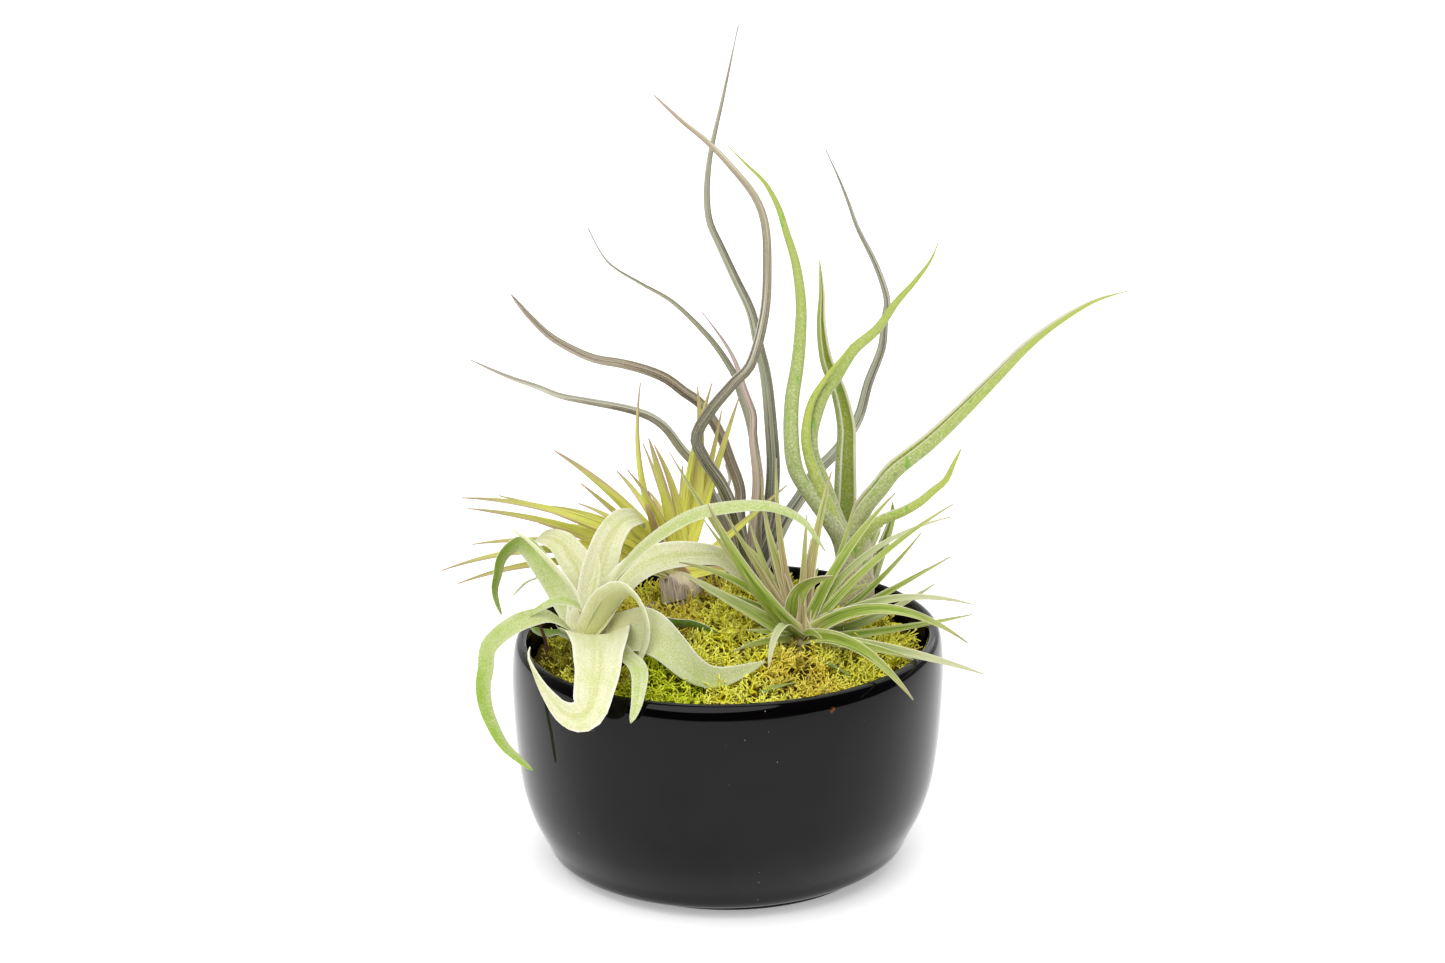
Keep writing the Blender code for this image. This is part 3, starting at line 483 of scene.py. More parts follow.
# Half of the gap along a leaf's top, in degrees: by the tip it has closed by this share. The bore
# never gets narrower than this share of the leaf.
TENTACLE_OPENING = 75
TENTACLE_CLOSING = 0.5
TENTACLE_BORE = 0.35
TENTACLE_LEAVES = (
    (10.5, 0.78, (0, 0),
     ((-4, -2, 22), (-9, -6, 33), (-17, -8, 45), (-23, -9, 55), (-25, -9, 67), (-25, -8, 82),
      (-23, -8, 97), (-22, -7, 110), (-22, -6, 121), (-24, -5, 135), (-28, -4, 148),
      (-31, -3, 157), (-36, -3, 166), (-43, -3, 173), (-50, -3, 180))),
    (10.5, 0.75, (0, 0),
     ((-3, -1, 22), (-8, -3, 35), (-13, -4, 49), (-17, -5, 59), (-18, -6, 68), (-16, -6, 77),
      (-13, -6, 85), (-9, -5, 90), (-2, -4, 101), (7, -3, 109), (14, -2, 119), (21, -1, 127),
      (27, 0, 135), (30, 1, 142))),
    (9.0, 0.8, (0, 0),
     ((-4, -3, 22), (-9, -7, 35), (-15, -10, 50), (-19, -11, 62), (-20, -11, 71), (-18, -10, 82),
      (-13, -10, 91), (-8, -10, 98), (-3, -10, 105))),
    (11.5, 0.66, (0, 0),
     ((-2, 2, 20), (-4, 5, 32), (-4, 6, 41), (-4, 6, 57), (-4, 6, 68), (-7, 5, 82), (-12, 4, 95),
      (-14, 3, 109), (-14, 2, 122), (-15, 1, 135))),
    (12.0, 0.78, (0, 15),
     ((-1, 0, 20), (-1, -1, 29), (2, -2, 38), (8, -3, 46), (14, -4, 54), (27, -5, 65),
      (39, -6, 77), (52, -7, 91), (64, -8, 104), (76, -9, 114), (89, -10, 122), (101, -11, 126))),
    (8.0, 0.57, (0, 20),
     ((0, -3, 16), (1, -5, 24), (5, -7, 31), (10, -8, 35), (17, -9, 38), (24, -9, 42),
      (29, -8, 46), (34, -7, 50), (37, -6, 56), (40, -5, 62))),
    (7.0, 0.5, (0, 0),
     ((3, 4, 1), (6, 8, 4), (10, 12, 13), (13, 14, 21), (15, 15, 28), (15, 15, 34))),
    (7.5, 0.7, (0, 0),
     ((0, 3, 18), (-1, 10, 24), (-4, 20, 30), (-5, 30, 32), (-2, 40, 30), (2, 48, 31))),
    (6.5, 0.7, (0, 0),
     ((2, 2, 14), (6, 9, 19), (9, 18, 22), (8, 27, 20), (9, 36, 16), (13, 43, 15))),
)


def rolled_section(width, taper):
    """A leaf rolled into a tube that stays open along the top: its outside, then its inside."""
    arc = TENTACLE_SIDES // 2

    def section(corner, share):
        half = half_width(width, taper, share, root=1.1, root_share=0.12)
        wrap = math.radians(180 - TENTACLE_OPENING * (1 - TENTACLE_CLOSING * share))
        outside = corner < arc
        step = corner if outside else TENTACLE_SIDES - 1 - corner
        angle = wrap * (2 * step / (arc - 1) - 1)
        radius = half if outside else max(half - TENTACLE_WALL * MM, TENTACLE_BORE * half)
        return (radius * math.sin(angle), -radius * math.cos(angle), angle / wrap,
                -1.0 if outside else 1.0)
    return section


tentacle = new_plant()
for number, (width, taper, turns, points) in enumerate(TENTACLE_LEAVES):
    path = leaf_path(points, TENTACLE_SPACING)
    grow_leaf(tentacle, frames_along(path, turns), rolled_section(width, taper), TENTACLE_SIDES,
              spread_tint(number))
grow_stub(tentacle, foot=8.6, top=6.0, rise=30, z=90, rings=24)

leaf = LeafFinish("tentacle_leaf", 0.6)
scales = leaf.grain(leaf.where, 0.0008, 2)
worn = leaf.grain(leaf.place((1, 1, 0.4)), 0.0035, 3)
streaks = leaf.lines(10, 4)
leaf.colour = leaf.ramp(leaf.along, (0.0, 196, 182, 160), (0.1, 190, 190, 152), (0.3, 170, 182, 118),
                        (0.6, 162, 178, 88), (1.0, 164, 176, 76))
leaf.lay(leaf.times(leaf.span(leaf.tint, 0.3, 0.75), 0.35), srgb(192, 202, 62))
leaf.lay(leaf.times(leaf.span(leaf.side, -0.2, 0.6), 0.7), srgb(172, 184, 48))
leaf.lay(leaf.span(streaks, 0.52, 0.75, 0, 0.3), srgb(140, 168, 78))
speckled = leaf.span(leaf.along, 0.85, 0.3, 0.15, 1)
leaf.lay(leaf.times(leaf.span(scales, 0.45, 0.36, 0, 0.6), speckled), srgb(116, 134, 72))
leaf.lay(leaf.times(leaf.span(scales, 0.54, 0.66, 0, 0.7), speckled), srgb(212, 214, 184))
leaf.lay(leaf.span(worn, 0.62, 0.67, 0, 0.85), srgb(120, 174, 48))
leaf.lay(leaf.span(leaf.edge, 0.93, 0.98), srgb(220, 218, 188))
leaf.set(Base_Color=leaf.colour, Sheen_Weight=0.2, Sheen_Roughness=0.5)
leaf.bump(scales, 0.00012)
plant_piece(tentacle, "tentacle_air_plant", "tentacle_plant", leaf, "tentacle_leaf")

# Ribbon-leaved plant: broad soft leaves that arch over and curl, some over the bowl's lip. A
# velvet of fine white scales makes them silvery, worn to green on some and towards their tips.
RIBBON_SPACING = 2.2
RIBBON_THICKNESS = 0.9
RIBBON_CUP = 0.22
RIBBON_ROOT_CUP = 0.35
RIBBON_ROOT_SHARE = 0.08
RIBBON_SIDES = 20
# The edges' waves: how high, as a share of half the width, how many along and across, and how far
# apart the leaves are in the noise that they're taken from.
WAVE_HEIGHT = 0.12
WAVES_ALONG = 5
WAVES_ACROSS = 0.8
WAVE_STEP = 7.3
RIBBON_LEAVES = (
    (30.0, 0.8, (0, 0, 0, 0, -20, -60),
     ((3, -11, 6), (5, -26, 11.5), (6, -40, 12.5), (6, -48, 11.5), (6, -54, 7.5), (5, -58, 3),
      (4, -60.5, -1), (3, -62, -3.5), (0.5, -62, -5.5), (-3, -60.5, -6), (-7, -58, -4.5),
      (-10, -56, -1.5), (-14, -55, 4), (-17, -53, 9), (-19, -51, 13), (-18.5, -49, 16))),
    (24.0, 0.75, (10, 50, 60, 60, 50),
     ((8, -4.5, 3.5), (16, -11, 7), (23, -19, 11), (29, -25, 10), (33, -30, 8), (39, -34, 3),
      (45, -36, 0), (51, -37, 0), (57, -35, 1), (67, -29, 3))),
    (17.0, 0.75, (0, -95),
     ((3, -2.5, 5.5), (7, -6.5, 17), (11.5, -12, 23.5), (16, -17, 26), (20, -21, 23),
      (22.5, -25, 17.5), (22.5, -26, 10), (20, -27, 3), (18, -28, -1), (15.5, -27, -5.5))),
    (12.0, 0.45, (0, 0),
     ((8, -16, 5), (14, -34, 7), (19, -46, 8), (21, -53, 7), (21, -59, 4), (20, -62, -2),
      (18, -63, -8))),
    (9.0, 0.45, (0, -40, -75, -75),
     ((-4, -3.5, 2), (-9, -6, 8.5), (-15, -9, 13), (-21, -13, 13.5), (-26, -16, 12.5),
      (-32, -17, 8.5), (-36, -17, 3.5), (-37, -19, -4), (-38, -21, -10), (-37, -24, -17),
      (-34, -27, -24), (-30, -30, -30), (-25, -32.5, -34), (-19, -35, -38))),
    (11.5, 0.45, (0, -40, -75, -75),
     ((-5, 9, 6), (-12, 17, 16), (-18, 21, 24), (-22, 23, 29), (-26, 23, 32), (-31, 21, 30),
      (-34, 19, 26), (-35, 17, 21), (-36, 15, 16), (-35, 13, 11), (-33, 11, 7))),
    (9.0, 0.7, (10, 50, 60, 60),
     ((-1.5, 0, 6), (-2.7, 0.5, 11.7), (-4.5, 3, 17), (-8.4, 5.5, 22.4), (-12.8, 8, 27.1),
      (-16, 9.5, 30.2), (-19.4, 11, 33.3), (-23.2, 12.5, 36.7), (-26.4, 13.5, 38.6),
      (-29.3, 14.5, 40.8))),
    (19.0, 0.5, (0, 0),
     ((0, 17.5, 11), (-3, 24, 19), (-7, 29, 24), (-11, 33, 28), (-16, 37, 29), (-20, 43, 27),
      (-23, 49, 22))),
    (18.0, 0.5, (0, 20),
     ((3, 14, 12.5), (4, 19, 21), (6, 22, 28), (8, 25, 33), (12, 29, 38), (16, 34, 38),
      (19, 40, 36), (20, 46, 30))),
    (9.5, 0.6, (0, 95),
     ((4, -3.5, 13), (9, -6, 23), (16, -9, 34), (23, -12, 42), (31, -14, 49), (41, -15, 55),
      (52, -16, 58), (64, -16, 59), (73, -15, 57), (81, -14, 52), (86, -13, 45), (89, -12, 40))),
    (16.0, 0.45, (0, 85),
     ((5, 1.5, 7.5), (10, 5.5, 17.5), (19, 9, 26), (29, 11, 30), (42, 12, 31), (51, 13, 29),
      (56, 12, 24), (58, 11, 20))),
    (7.0, 0.6, (0, 0),
     ((1, 2.5, 9.5), (2, 5, 17.5), (4, 7, 26), (4, 9, 32))),
    (8.5, 0.45, (0, -60, -75),
     ((8, 2, 2.5), (18, 2, 7), (27, 1, 7.5), (34, 0, 7), (39, 0, 7), (44.5, -0.5, 5.5),
      (49, -1, 4))),
    (9.0, 0.45, (0, 0, -50),
     ((-5, 4.5, 0), (-10, 11, -1), (-15.5, 14, -2), (-19.5, 14, -1), (-22.5, 14, 1))),
    (7.5, 0.5, (0, -45, -60),
     ((-1.1, -1.5, 6), (-1.6, -3, 12), (-3.2, -4.5, 15.3), (-6.2, -6, 17.7), (-10.3, -8, 19),
      (-14.4, -9.5, 18.1), (-18, -11, 16.6), (-20.5, -12, 14.5))),
    (8.0, 0.6, (0, 0),
     ((-3, 7.5, 5.5), (-8, 20, 14), (-15, 31, 15), (-24, 39, 11), (-31, 44, 3))),
)
# How green a leaf is, by its number: most are silvery, at 0, and a few inner ones are bare, at 1.
# Leaves 12 and 13, the darkest, and leaf 1 towards its tip are green as painted shade.
RIBBON_TINTS = {1: 0.22, 3: 0.25, 4: 0.6, 5: 0.6, 9: 0.35, 12: 1.0, 13: 0.95, 14: 0.4}


def ribbon_section(width, taper, seed):
    """A thin flat leaf with rounded edges that stand a little up, and wander as they go."""
    def section(corner, share):
        angle = math.tau * corner / RIBBON_SIDES
        across, level = math.cos(angle), math.sin(angle)
        half = half_width(width, taper, share, root=0.8, root_share=0.12)
        cup = RIBBON_CUP + RIBBON_ROOT_CUP * math.exp(-share / RIBBON_ROOT_SHARE)
        wave = noise.noise(Vector((share * WAVES_ALONG, across * WAVES_ACROSS, seed)))
        cup += wave * WAVE_HEIGHT * across ** 2
        y = level * min(RIBBON_THICKNESS * MM / 2, half) + cup * half * across ** 2
        return half * across, y, across, level
    return section


ribbon = new_plant()
for number, (width, taper, turns, points) in enumerate(RIBBON_LEAVES):
    path = leaf_path(points, RIBBON_SPACING)
    section = ribbon_section(width, taper, number * WAVE_STEP)
    grow_leaf(ribbon, frames_along(path, turns), section, RIBBON_SIDES, RIBBON_TINTS.get(number, 0.0))
grow_stub(ribbon, foot=7.0, top=5.0, rise=4, z=90)

leaf = LeafFinish("ribbon_leaf", 0.65)
velvet = leaf.grain(leaf.where, 0.0006, 2)
clouds = leaf.grain(leaf.where, 0.009, 3)
bands = leaf.lines(4, 1.2, 3.0)
veins = leaf.lines(17, 1.5)
# Greener in the middle and paler to the edges: partly the leaves' own colour, partly painted shade in
# their cupped middles.
leaf.colour = leaf.ramp(leaf.edge, (0.0, 200, 203, 140), (0.4, 206, 208, 154), (0.75, 216, 216, 174),
                        (0.92, 228, 226, 196), (0.98, 244, 242, 226))
leaf.lay(leaf.span(bands, 0.42, 0.6, 0, 0.6), srgb(230, 229, 198))
leaf.lay(leaf.span(clouds, 0.5, 0.66, 0, 0.45), srgb(196, 204, 124))
leaf.lay(leaf.span(veins, 0.54, 0.7, 0, 0.28), srgb(186, 198, 120))
# Paler towards the root: painted light that lifts the shade round the heart.
leaf.lay(leaf.span(leaf.along, 0.24, 0.04, 0, 0.75), srgb(246, 242, 196))
# The bare leaves' undersides are green. The outer half of a leaf is the greener one, and a bare
# leaf is green all along. The darkest green, near a tint of 1, is painted shade.
bare_and_shaded = leaf.span(leaf.tint, 0.25, 0.6)
under = leaf.times(leaf.span(leaf.side, 0.1, -0.5), leaf.span(clouds, 0.3, 0.6, 0.9, 0.5))
leaf.lay(under, leaf.mix(bare_and_shaded, srgb(220, 222, 176), srgb(122, 148, 42)))
green = leaf.ramp(leaf.tint, (0.6, 142, 172, 58), (1.0, 84, 114, 30))
green = leaf.mix(leaf.span(leaf.across, -0.2, 0.8, 0, 0.5), green, srgb(184, 186, 150))
outer = leaf.span(leaf.along, 0.25, 0.65, 0.4, 1.3)
outer = leaf.maths("MAXIMUM", outer, leaf.span(leaf.tint, 0.7, 0.9))
most = leaf.times(leaf.times(leaf.tint, leaf.span(clouds, 0.25, 0.55, 1.0, 1.3)), outer)
leaf.lay(leaf.maths("MINIMUM", most, 1.0), green)
flecks = leaf.times(leaf.span(velvet, 0.45, 0.36), leaf.span(bare_and_shaded, 0.0, 1.0, 0.2, 0.5))
leaf.lay(flecks, srgb(136, 164, 60))
leaf.lay(leaf.span(leaf.edge, 0.95, 0.985), srgb(244, 243, 228))
scales = leaf.times(leaf.span(leaf.side, -0.4, 0.2, 0.2, 0.35), leaf.span(velvet, 0.53, 0.66))
leaf.lay(scales, leaf.mix(bare_and_shaded, srgb(240, 238, 216), srgb(206, 208, 164)))
leaf.set(Base_Color=leaf.colour, Specular_IOR_Level=0.3)
leaf.bump(velvet, 0.00015)
plant_piece(ribbon, "ribbon_air_plant", "ribbon_plant", leaf, "ribbon_leaf")

# Spiky plant: a rosette of stiff narrow blades, each folded along its middle to a channel, on
# pale papery bases. They are yellow-green, turning bronze at the edges and the tips.
BLADE_SPACING = 3.2
BLADE_TAPER = 0.62
BLADE_CUP = 0.6
FOLD_ROUNDING = 0.03
BLADE_THICKNESS = 0.9
BLADE_SIDES = 12
BLADE_FEWEST_STEPS = 8
# The blades' faces turn towards the front, where they're seen along this direction, by this share.
FRONT_VIEW = Vector((0, 0.956, -0.292))
FRONT_SHARE = 0.85
# Each blade: width, length, compass heading from +X, rise above level, and bow, how far its
# middle stands above the straight line from heart to tip.
SPIKY_BLADES = (
    (4.1, 83, -153, 78, -8), (6.5, 76, -162, 48, 4), (4.8, 57, -168, 46, 1), (5.3, 96, -163, 25, 8),
    (5.3, 90, -168, 22, 5), (4.8, 79, -177, 26, 4), (5.8, 65, -167, 31, 6), (4.8, 67, 174, 20, 1),
    (5.0, 83, 179, 9, 7), (5.4, 95, -167, 6, 10), (5.4, 88, -169, 2, 8), (3.8, 54, -147, 63, 3),
    (6.9, 61, -147, 76, 1), (5.8, 55, 180, 79, 4), (3.6, 55, 152, 72, 2), (5.3, 81, -18, 81, 3),
    (6.9, 77, 19, 85, -4), (5.3, 77, 0, 73, 0), (4.8, 68, 27, 75, -1), (4.4, 58, -11, 44, 0),
    (3.6, 39, -163, 70, -1), (5.8, 29, -36, 17, 1), (4.8, 45, 68, 38, 4), (5.0, 50, 90, 44, 4),
    (4.8, 47, 109, 29, 5), (5.0, 54, 128, 38, 4), (4.4, 53, 149, 25, 4), (4.1, 37, 103, 60, 2),
    (4.1, 61, 164, 16, 6),
)
# A short broad young leaf in front, more bronze than the others.
BUD_POINTS = ((-6, -4, 10), (-10, -8, 18), (-12, -14, 28), (-13.5, -18, 36))
BUD_WIDTH = 8.0
BUD_TAPER = 0.35
BUD_TINT = 1.5
# Dry papery sheaths round the foot, which have a tint below 0. Their middle passes this far out,
# in millimetres, at these shares of its height, and every second and third is shorter.
SHEATH_PATH = ((0, 0), (0.3, 0.5), (1.8, 1))
SHEATH_SHORTER = 0.12
SHEATH_FOOT = 80.0
SHEATH_TAPER = 0.4
SHEATH_TINT = -1.0
SHEATH_TURN = 137.5
SHEATH_SPACING = 1.8


def front_turn(along, across):
    """How far a blade is turned about its length, so that its face is mostly to the front."""
    facing = FRONT_VIEW.cross(along).normalized()
    if facing.dot(across) < 0:
        facing = -facing
    return FRONT_SHARE * math.degrees(math.atan2(along.dot(across.cross(facing)), across.dot(facing)))


def channel_section(width, taper):
    """A narrow leaf folded along its middle, with wide clasping roots."""
    def section(corner, share):
        angle = math.tau * corner / BLADE_SIDES
        across, level = math.cos(angle), math.sin(angle)
        half = half_width(width, taper, share, root=1.15, root_share=0.2)
        fold = math.sqrt(across ** 2 + FOLD_ROUNDING) - math.sqrt(FOLD_ROUNDING)
        y = level * min(BLADE_THICKNESS * MM / 2, half) + BLADE_CUP * half * fold
        return half * across, y, across, level
    return section


def grow_blade(bm, tint, width, length, heading, rise, bow):
    """Adds a blade that bows on its way from the heart to its tip."""
    heading, rise = math.radians(heading), math.radians(rise)
    level = Vector((math.cos(heading), math.sin(heading), 0))
    along = level * math.cos(rise) + Vector((0, 0, math.sin(rise)))
    upward = Vector((0, 0, math.cos(rise))) - level * math.sin(rise)
    last = max(round(length / BLADE_SPACING), BLADE_FEWEST_STEPS)
    shares = [k / last for k in range(last + 1)]
    path = [(along * length * s + upward * bow * 4 * s * (1 - s)) * MM for s in shares]
    turn = front_turn(along, Vector((-level.y, level.x, 0)))
    grow_leaf(bm, frames_along(path, (turn,)), channel_section(width, BLADE_TAPER), BLADE_SIDES, tint)


def grow_sheaths(bm, count, radius, width, length, z):
    """Dead leaf bases that stand round the stub, clasp it and open a little at their points."""
    for number in range(count):
        angle = math.radians(SHEATH_TURN * number)
        level = Vector((math.cos(angle), math.sin(angle), 0))
        tall = length * (1 - SHEATH_SHORTER * (number % 3))
        points = [(level * (radius + out) + Vector((0, 0, SHEATH_FOOT - z + up * tall))) * MM
                  for out, up in SHEATH_PATH]
        path = smooth_path(points, SHEATH_SPACING * MM)
        grow_leaf(bm, frames_along(path, (0,)), channel_section(width, SHEATH_TAPER), BLADE_SIDES,
                  SHEATH_TINT)


spiky = new_plant()
for number, blade in enumerate(SPIKY_BLADES):
    grow_blade(spiky, spread_tint(number), *blade)
path = leaf_path(BUD_POINTS, BLADE_SPACING / 2)
grow_leaf(spiky, frames_along(path, (0, 0)), channel_section(BUD_WIDTH, BUD_TAPER), BLADE_SIDES,
          BUD_TINT)
grow_stub(spiky, foot=8.2, top=7.0, rise=3, z=98)
grow_sheaths(spiky, count=9, radius=7.4, width=9.0, length=25, z=98)

leaf = LeafFinish("spiky_leaf", 0.5)
streaks = leaf.lines(10, 3)
leaf.colour = leaf.ramp(leaf.along, (0.0, 220, 206, 180), (0.1, 214, 208, 140), (0.22, 240, 236, 108),
                        (0.55, 218, 220, 96), (0.8, 200, 196, 112), (1.0, 164, 142, 124))
late = leaf.span(leaf.along, 0.3, 0.7)
leaf.lay(leaf.times(leaf.span(leaf.tint, 0.45, 0.95, 0, 0.6), late), srgb(190, 168, 104))
leaf.lay(leaf.span(streaks, 0.52, 0.7, 0, 0.6), srgb(232, 230, 148))
leaf.lay(leaf.span(streaks, 0.45, 0.34, 0, 0.75), srgb(142, 154, 60))
young = leaf.span(leaf.tint, 1.1, 1.4)
leaf.lay(young, srgb(188, 176, 92))
rim = leaf.times(leaf.span(leaf.across, 0.2, 0.9, 0, 0.85), late)
rim = leaf.maths("MAXIMUM", rim, leaf.times(young, leaf.span(leaf.edge, 0.3, 0.85)))
leaf.lay(rim, srgb(188, 156, 136))
paper = leaf.ramp(streaks, (0.36, 168, 146, 136), (0.5, 216, 200, 190), (0.66, 236, 226, 214))
leaf.lay(leaf.span(leaf.tint, -0.3, -0.7), paper)
leaf.set(Base_Color=leaf.colour, Specular_IOR_Level=0.3)
leaf.bump(streaks, 0.00012)
plant_piece(spiky, "spiky_air_plant", "spiky_plant", leaf, "spiky_leaf")

# Tufted plant: a flat rosette of narrow channelled blades on pinkish bases, with one broad leaf
# that falls over the moss. They are fresh green with pale edges and grey-brown tips.
TUFTED_BLADES = (
    (6.0, 77, -31, 1, 3), (6.8, 73, -58, 0, 9), (6.2, 65, -19, 6, 13), (5.0, 66, 2, 12, 9),
    (4.3, 66, -11, 13, -1), (5.6, 49, -34, 3, 2), (5.0, 56, 17, 18, -3), (4.0, 66, 19, 24, 0),
    (4.0, 59, 30, 19, 0), (4.0, 61, 17, 39, -3), (4.3, 78, 0, 44, 4), (4.0, 73, 10, 39, 10),
    (5.6, 67, 10, 58, 4), (4.0, 58, 41, 62, -3), (5.9, 65, 58, 71, 3), (4.0, 48, 80, 77, 3),
    (5.6, 52, 132, 65, -1), (4.0, 70, 125, 76, -5), (4.0, 64, 126, 66, -5), (4.0, 50, 149, 62, -2),
    (4.0, 58, 161, 57, 0), (7.6, 76, -144, 55, -3), (4.0, 88, 171, 55, -2), (4.0, 60, 177, 52, -1),
    (5.0, 58, -170, 36, 6), (6.8, 58, -163, 34, 0), (4.0, 25, -156, 18, 1), (4.0, 39, -133, 9, 2),
    (4.0, 19, -62, 12, 4), (10.5, 32, -36, 64, 10), (7.4, 37, -6, 21, 5), (4.3, 41, 79, 24, 4),
    (4.0, 50, 84, 32, 4), (4.3, 54, 102, 24, 5), (4.0, 51, 120, 32, 4), (4.3, 46, 48, 15, 5),
    (4.3, 44, 148, 14, 5),
)
FALLING_LEAF = ((-2, -4, 3), (-5, -10, 8), (-7, -17, 12), (-10, -24, 11), (-12, -30, 7), (-13, -35, 1))
FALLING_WIDTH = 6.0
FALLING_TAPER = 0.6
FALLING_TINT = 0.1
# Blades of the upright group at the left, which are flushed with pink: they have a tint above 0.6.
TUFTED_PINK = (14, 15, 16, 17, 18, 19, 20, 22, 23)

tufted = new_plant()
for number, blade in enumerate(TUFTED_BLADES):
    tint = 0.7 + 0.3 * spread_tint(number) if number in TUFTED_PINK else 0.6 * spread_tint(number)
    grow_blade(tufted, tint, *blade)
path = leaf_path(FALLING_LEAF, BLADE_SPACING)
grow_leaf(tufted, frames_along(path, (0, 0)), channel_section(FALLING_WIDTH, FALLING_TAPER),
          BLADE_SIDES, FALLING_TINT)
grow_stub(tufted, foot=6.2, top=3.5, rise=3, z=89)

leaf = LeafFinish("tufted_leaf", 0.5)
streaks = leaf.lines(9, 3)
leaf.colour = leaf.ramp(leaf.along, (0.0, 206, 178, 146), (0.09, 172, 166, 96), (0.2, 132, 152, 50),
                        (0.6, 140, 162, 54), (0.86, 172, 176, 104), (1.0, 168, 148, 124))
# Paler towards the edges, which leaves the middle of each channel darker: painted shade in the fold.
leaf.lay(leaf.span(leaf.edge, 0.35, 0.75, 0, 0.6), srgb(182, 196, 104))
pink = leaf.times(leaf.span(leaf.tint, 0.55, 0.75, 0, 0.85), leaf.span(leaf.along, 0.75, 0.3, 0.25, 1))
leaf.lay(pink, srgb(186, 152, 124))
leaf.lay(leaf.span(streaks, 0.46, 0.34, 0, 0.85), srgb(84, 108, 26))
leaf.lay(leaf.span(streaks, 0.54, 0.68, 0, 0.6), srgb(216, 218, 158))
bloom = leaf.times(leaf.span(leaf.tint, 0.2, 0.1), leaf.span(leaf.along, 0.25, 0.7, 0, 0.6))
leaf.lay(bloom, srgb(208, 208, 178))
leaf.lay(leaf.span(leaf.edge, 0.84, 0.93, 0, 0.85), srgb(236, 228, 200))
leaf.set(Base_Color=leaf.colour, Specular_IOR_Level=0.35)
leaf.bump(streaks, 0.00012)
plant_piece(tufted, "tufted_air_plant", "tufted_plant", leaf, "tufted_leaf")

# Moss: clumps of dried reindeer moss pushed in between the plants over the filler. Each is a
# springy mat of thin strands that curl and fork, dyed lime, fresh green or left olive.
# A clump's own top lies this far below the solid's, under the strands.
MOSS_SINK = 4.0
# Below the lip's height the strands press against the bowl's wall, at this distance from its axis.
MOSS_RIM = 90.0
MOSS_REACH = 75.7
# At the sides and the back, behind this y, the mat stops short of the wall, at this distance from
# the axis. Tufts past it lean inwards, the more the further out they stand.
MOSS_EDGE = 69.0
MOSS_FRONT = -30.0
INWARD_LEAN = 0.12
# Tufts stand on the faces of a clump that look up at least this much, and the room above them is
# measured from this height.
LEAST_UPWARD = 0.35
HEADROOM_START = 0.2
# How many kinds of tuft there are, how many pieces long their strands are, and how high they reach.
TUFT_KINDS = 12
TUFT_LEVELS = 6
TUFT_REACH = 7.5
TUFTS_PER_MM2 = 0.2
# The tufts' sizes differ this much, and one that would be smaller than the least is left out. They
# grow partly upward, whichever way their face of the clump looks, and lean at random.
TUFT_SIZES = (0.8, 1.15)
LEAST_TUFT = 0.25
UPWARD = 0.6
RANDOM_LEAN = 0.5
# The mat rises in mounds about this many millimetres across, by this share of a tuft's height, and
# its hollows are painted darker, as shade.
MOUND_SIZE = 9.0
MOUND_RELIEF = 0.6
# In front of two of the ribbon-leaved plant's leaves the moss is pressed down to this share. Each
# spot: x, y, radius.
PRESSED = ((-22, -20, 11), (-11, -57, 8))
PRESSED_SHARE = 0.4
# The moss round a plant's heart is painted darker, as shade under the leaves, out to this far from it.
HEART_SHADE = 1.2
HEART_REACH = 26.0
STRAND_RADIUS = 0.46
STRAND_THINNING = 0.07
STRAND_TAPER = 0.9
STRAND_LENGTHS = (1.3, 2.1)
STRAND_WANDER = 0.55
FORK_CHANCE = 0.4
# Each kind's colours deep down, in the middle and at the strands' tips, as 0-255 values. The deep
# colour is painted shade between the strands.
MOSS_COLOURS = {
    "moss_lime": ((96, 78, 6), (255, 246, 10), (255, 255, 120)),
    "moss_green": ((66, 76, 4), (222, 240, 8), (246, 252, 80)),
    "moss_olive": ((76, 60, 12), (236, 210, 48), (252, 240, 110)),
}


def curled_tuft(seed):
    """One tuft: three-sided strands that wander as they rise, fork and get thinner."""
    chance = random.Random(seed)
    bm = bmesh.new()
    tip = bm.verts.layers.float.new("tip")
    bm.verts.layers.float.new("shade")
    growing = [(Vector((0, 0, 0)), Vector((0, 0, 1)), 0)]
    while growing:
        foot, heading, level = growing.pop()
        wander = Vector([chance.gauss(0, STRAND_WANDER) for _ in range(3)])
        heading = (heading + wander).normalized()
        length = chance.uniform(*STRAND_LENGTHS) * MM
        turn = heading.to_track_quat("Z", "X").to_matrix().to_4x4()
        thick = STRAND_RADIUS * (1 - STRAND_THINNING * level) * MM
        strand = bmesh.ops.create_cone(
            bm, cap_ends=True, segments=3, radius1=thick, radius2=thick * STRAND_TAPER,
            depth=length + thick,
            matrix=Matrix.Translation(foot + heading * length / 2) @ turn)
        for vert in strand["verts"]:
            vert[tip] = (level + 0.5) / TUFT_LEVELS
        if level + 1 < TUFT_LEVELS:
            end = foot + heading * length
            growing.append((end, heading, level + 1))
            if level and chance.random() < FORK_CHANCE:
                side = Vector([chance.gauss(0, 1) for _ in range(3)]).normalized()
                growing.append((end, (heading + side).normalized(), level + 1))
    mesh = bpy.data.meshes.new("tuft")
    bm.to_mesh(mesh)
    bm.free()
    return mesh


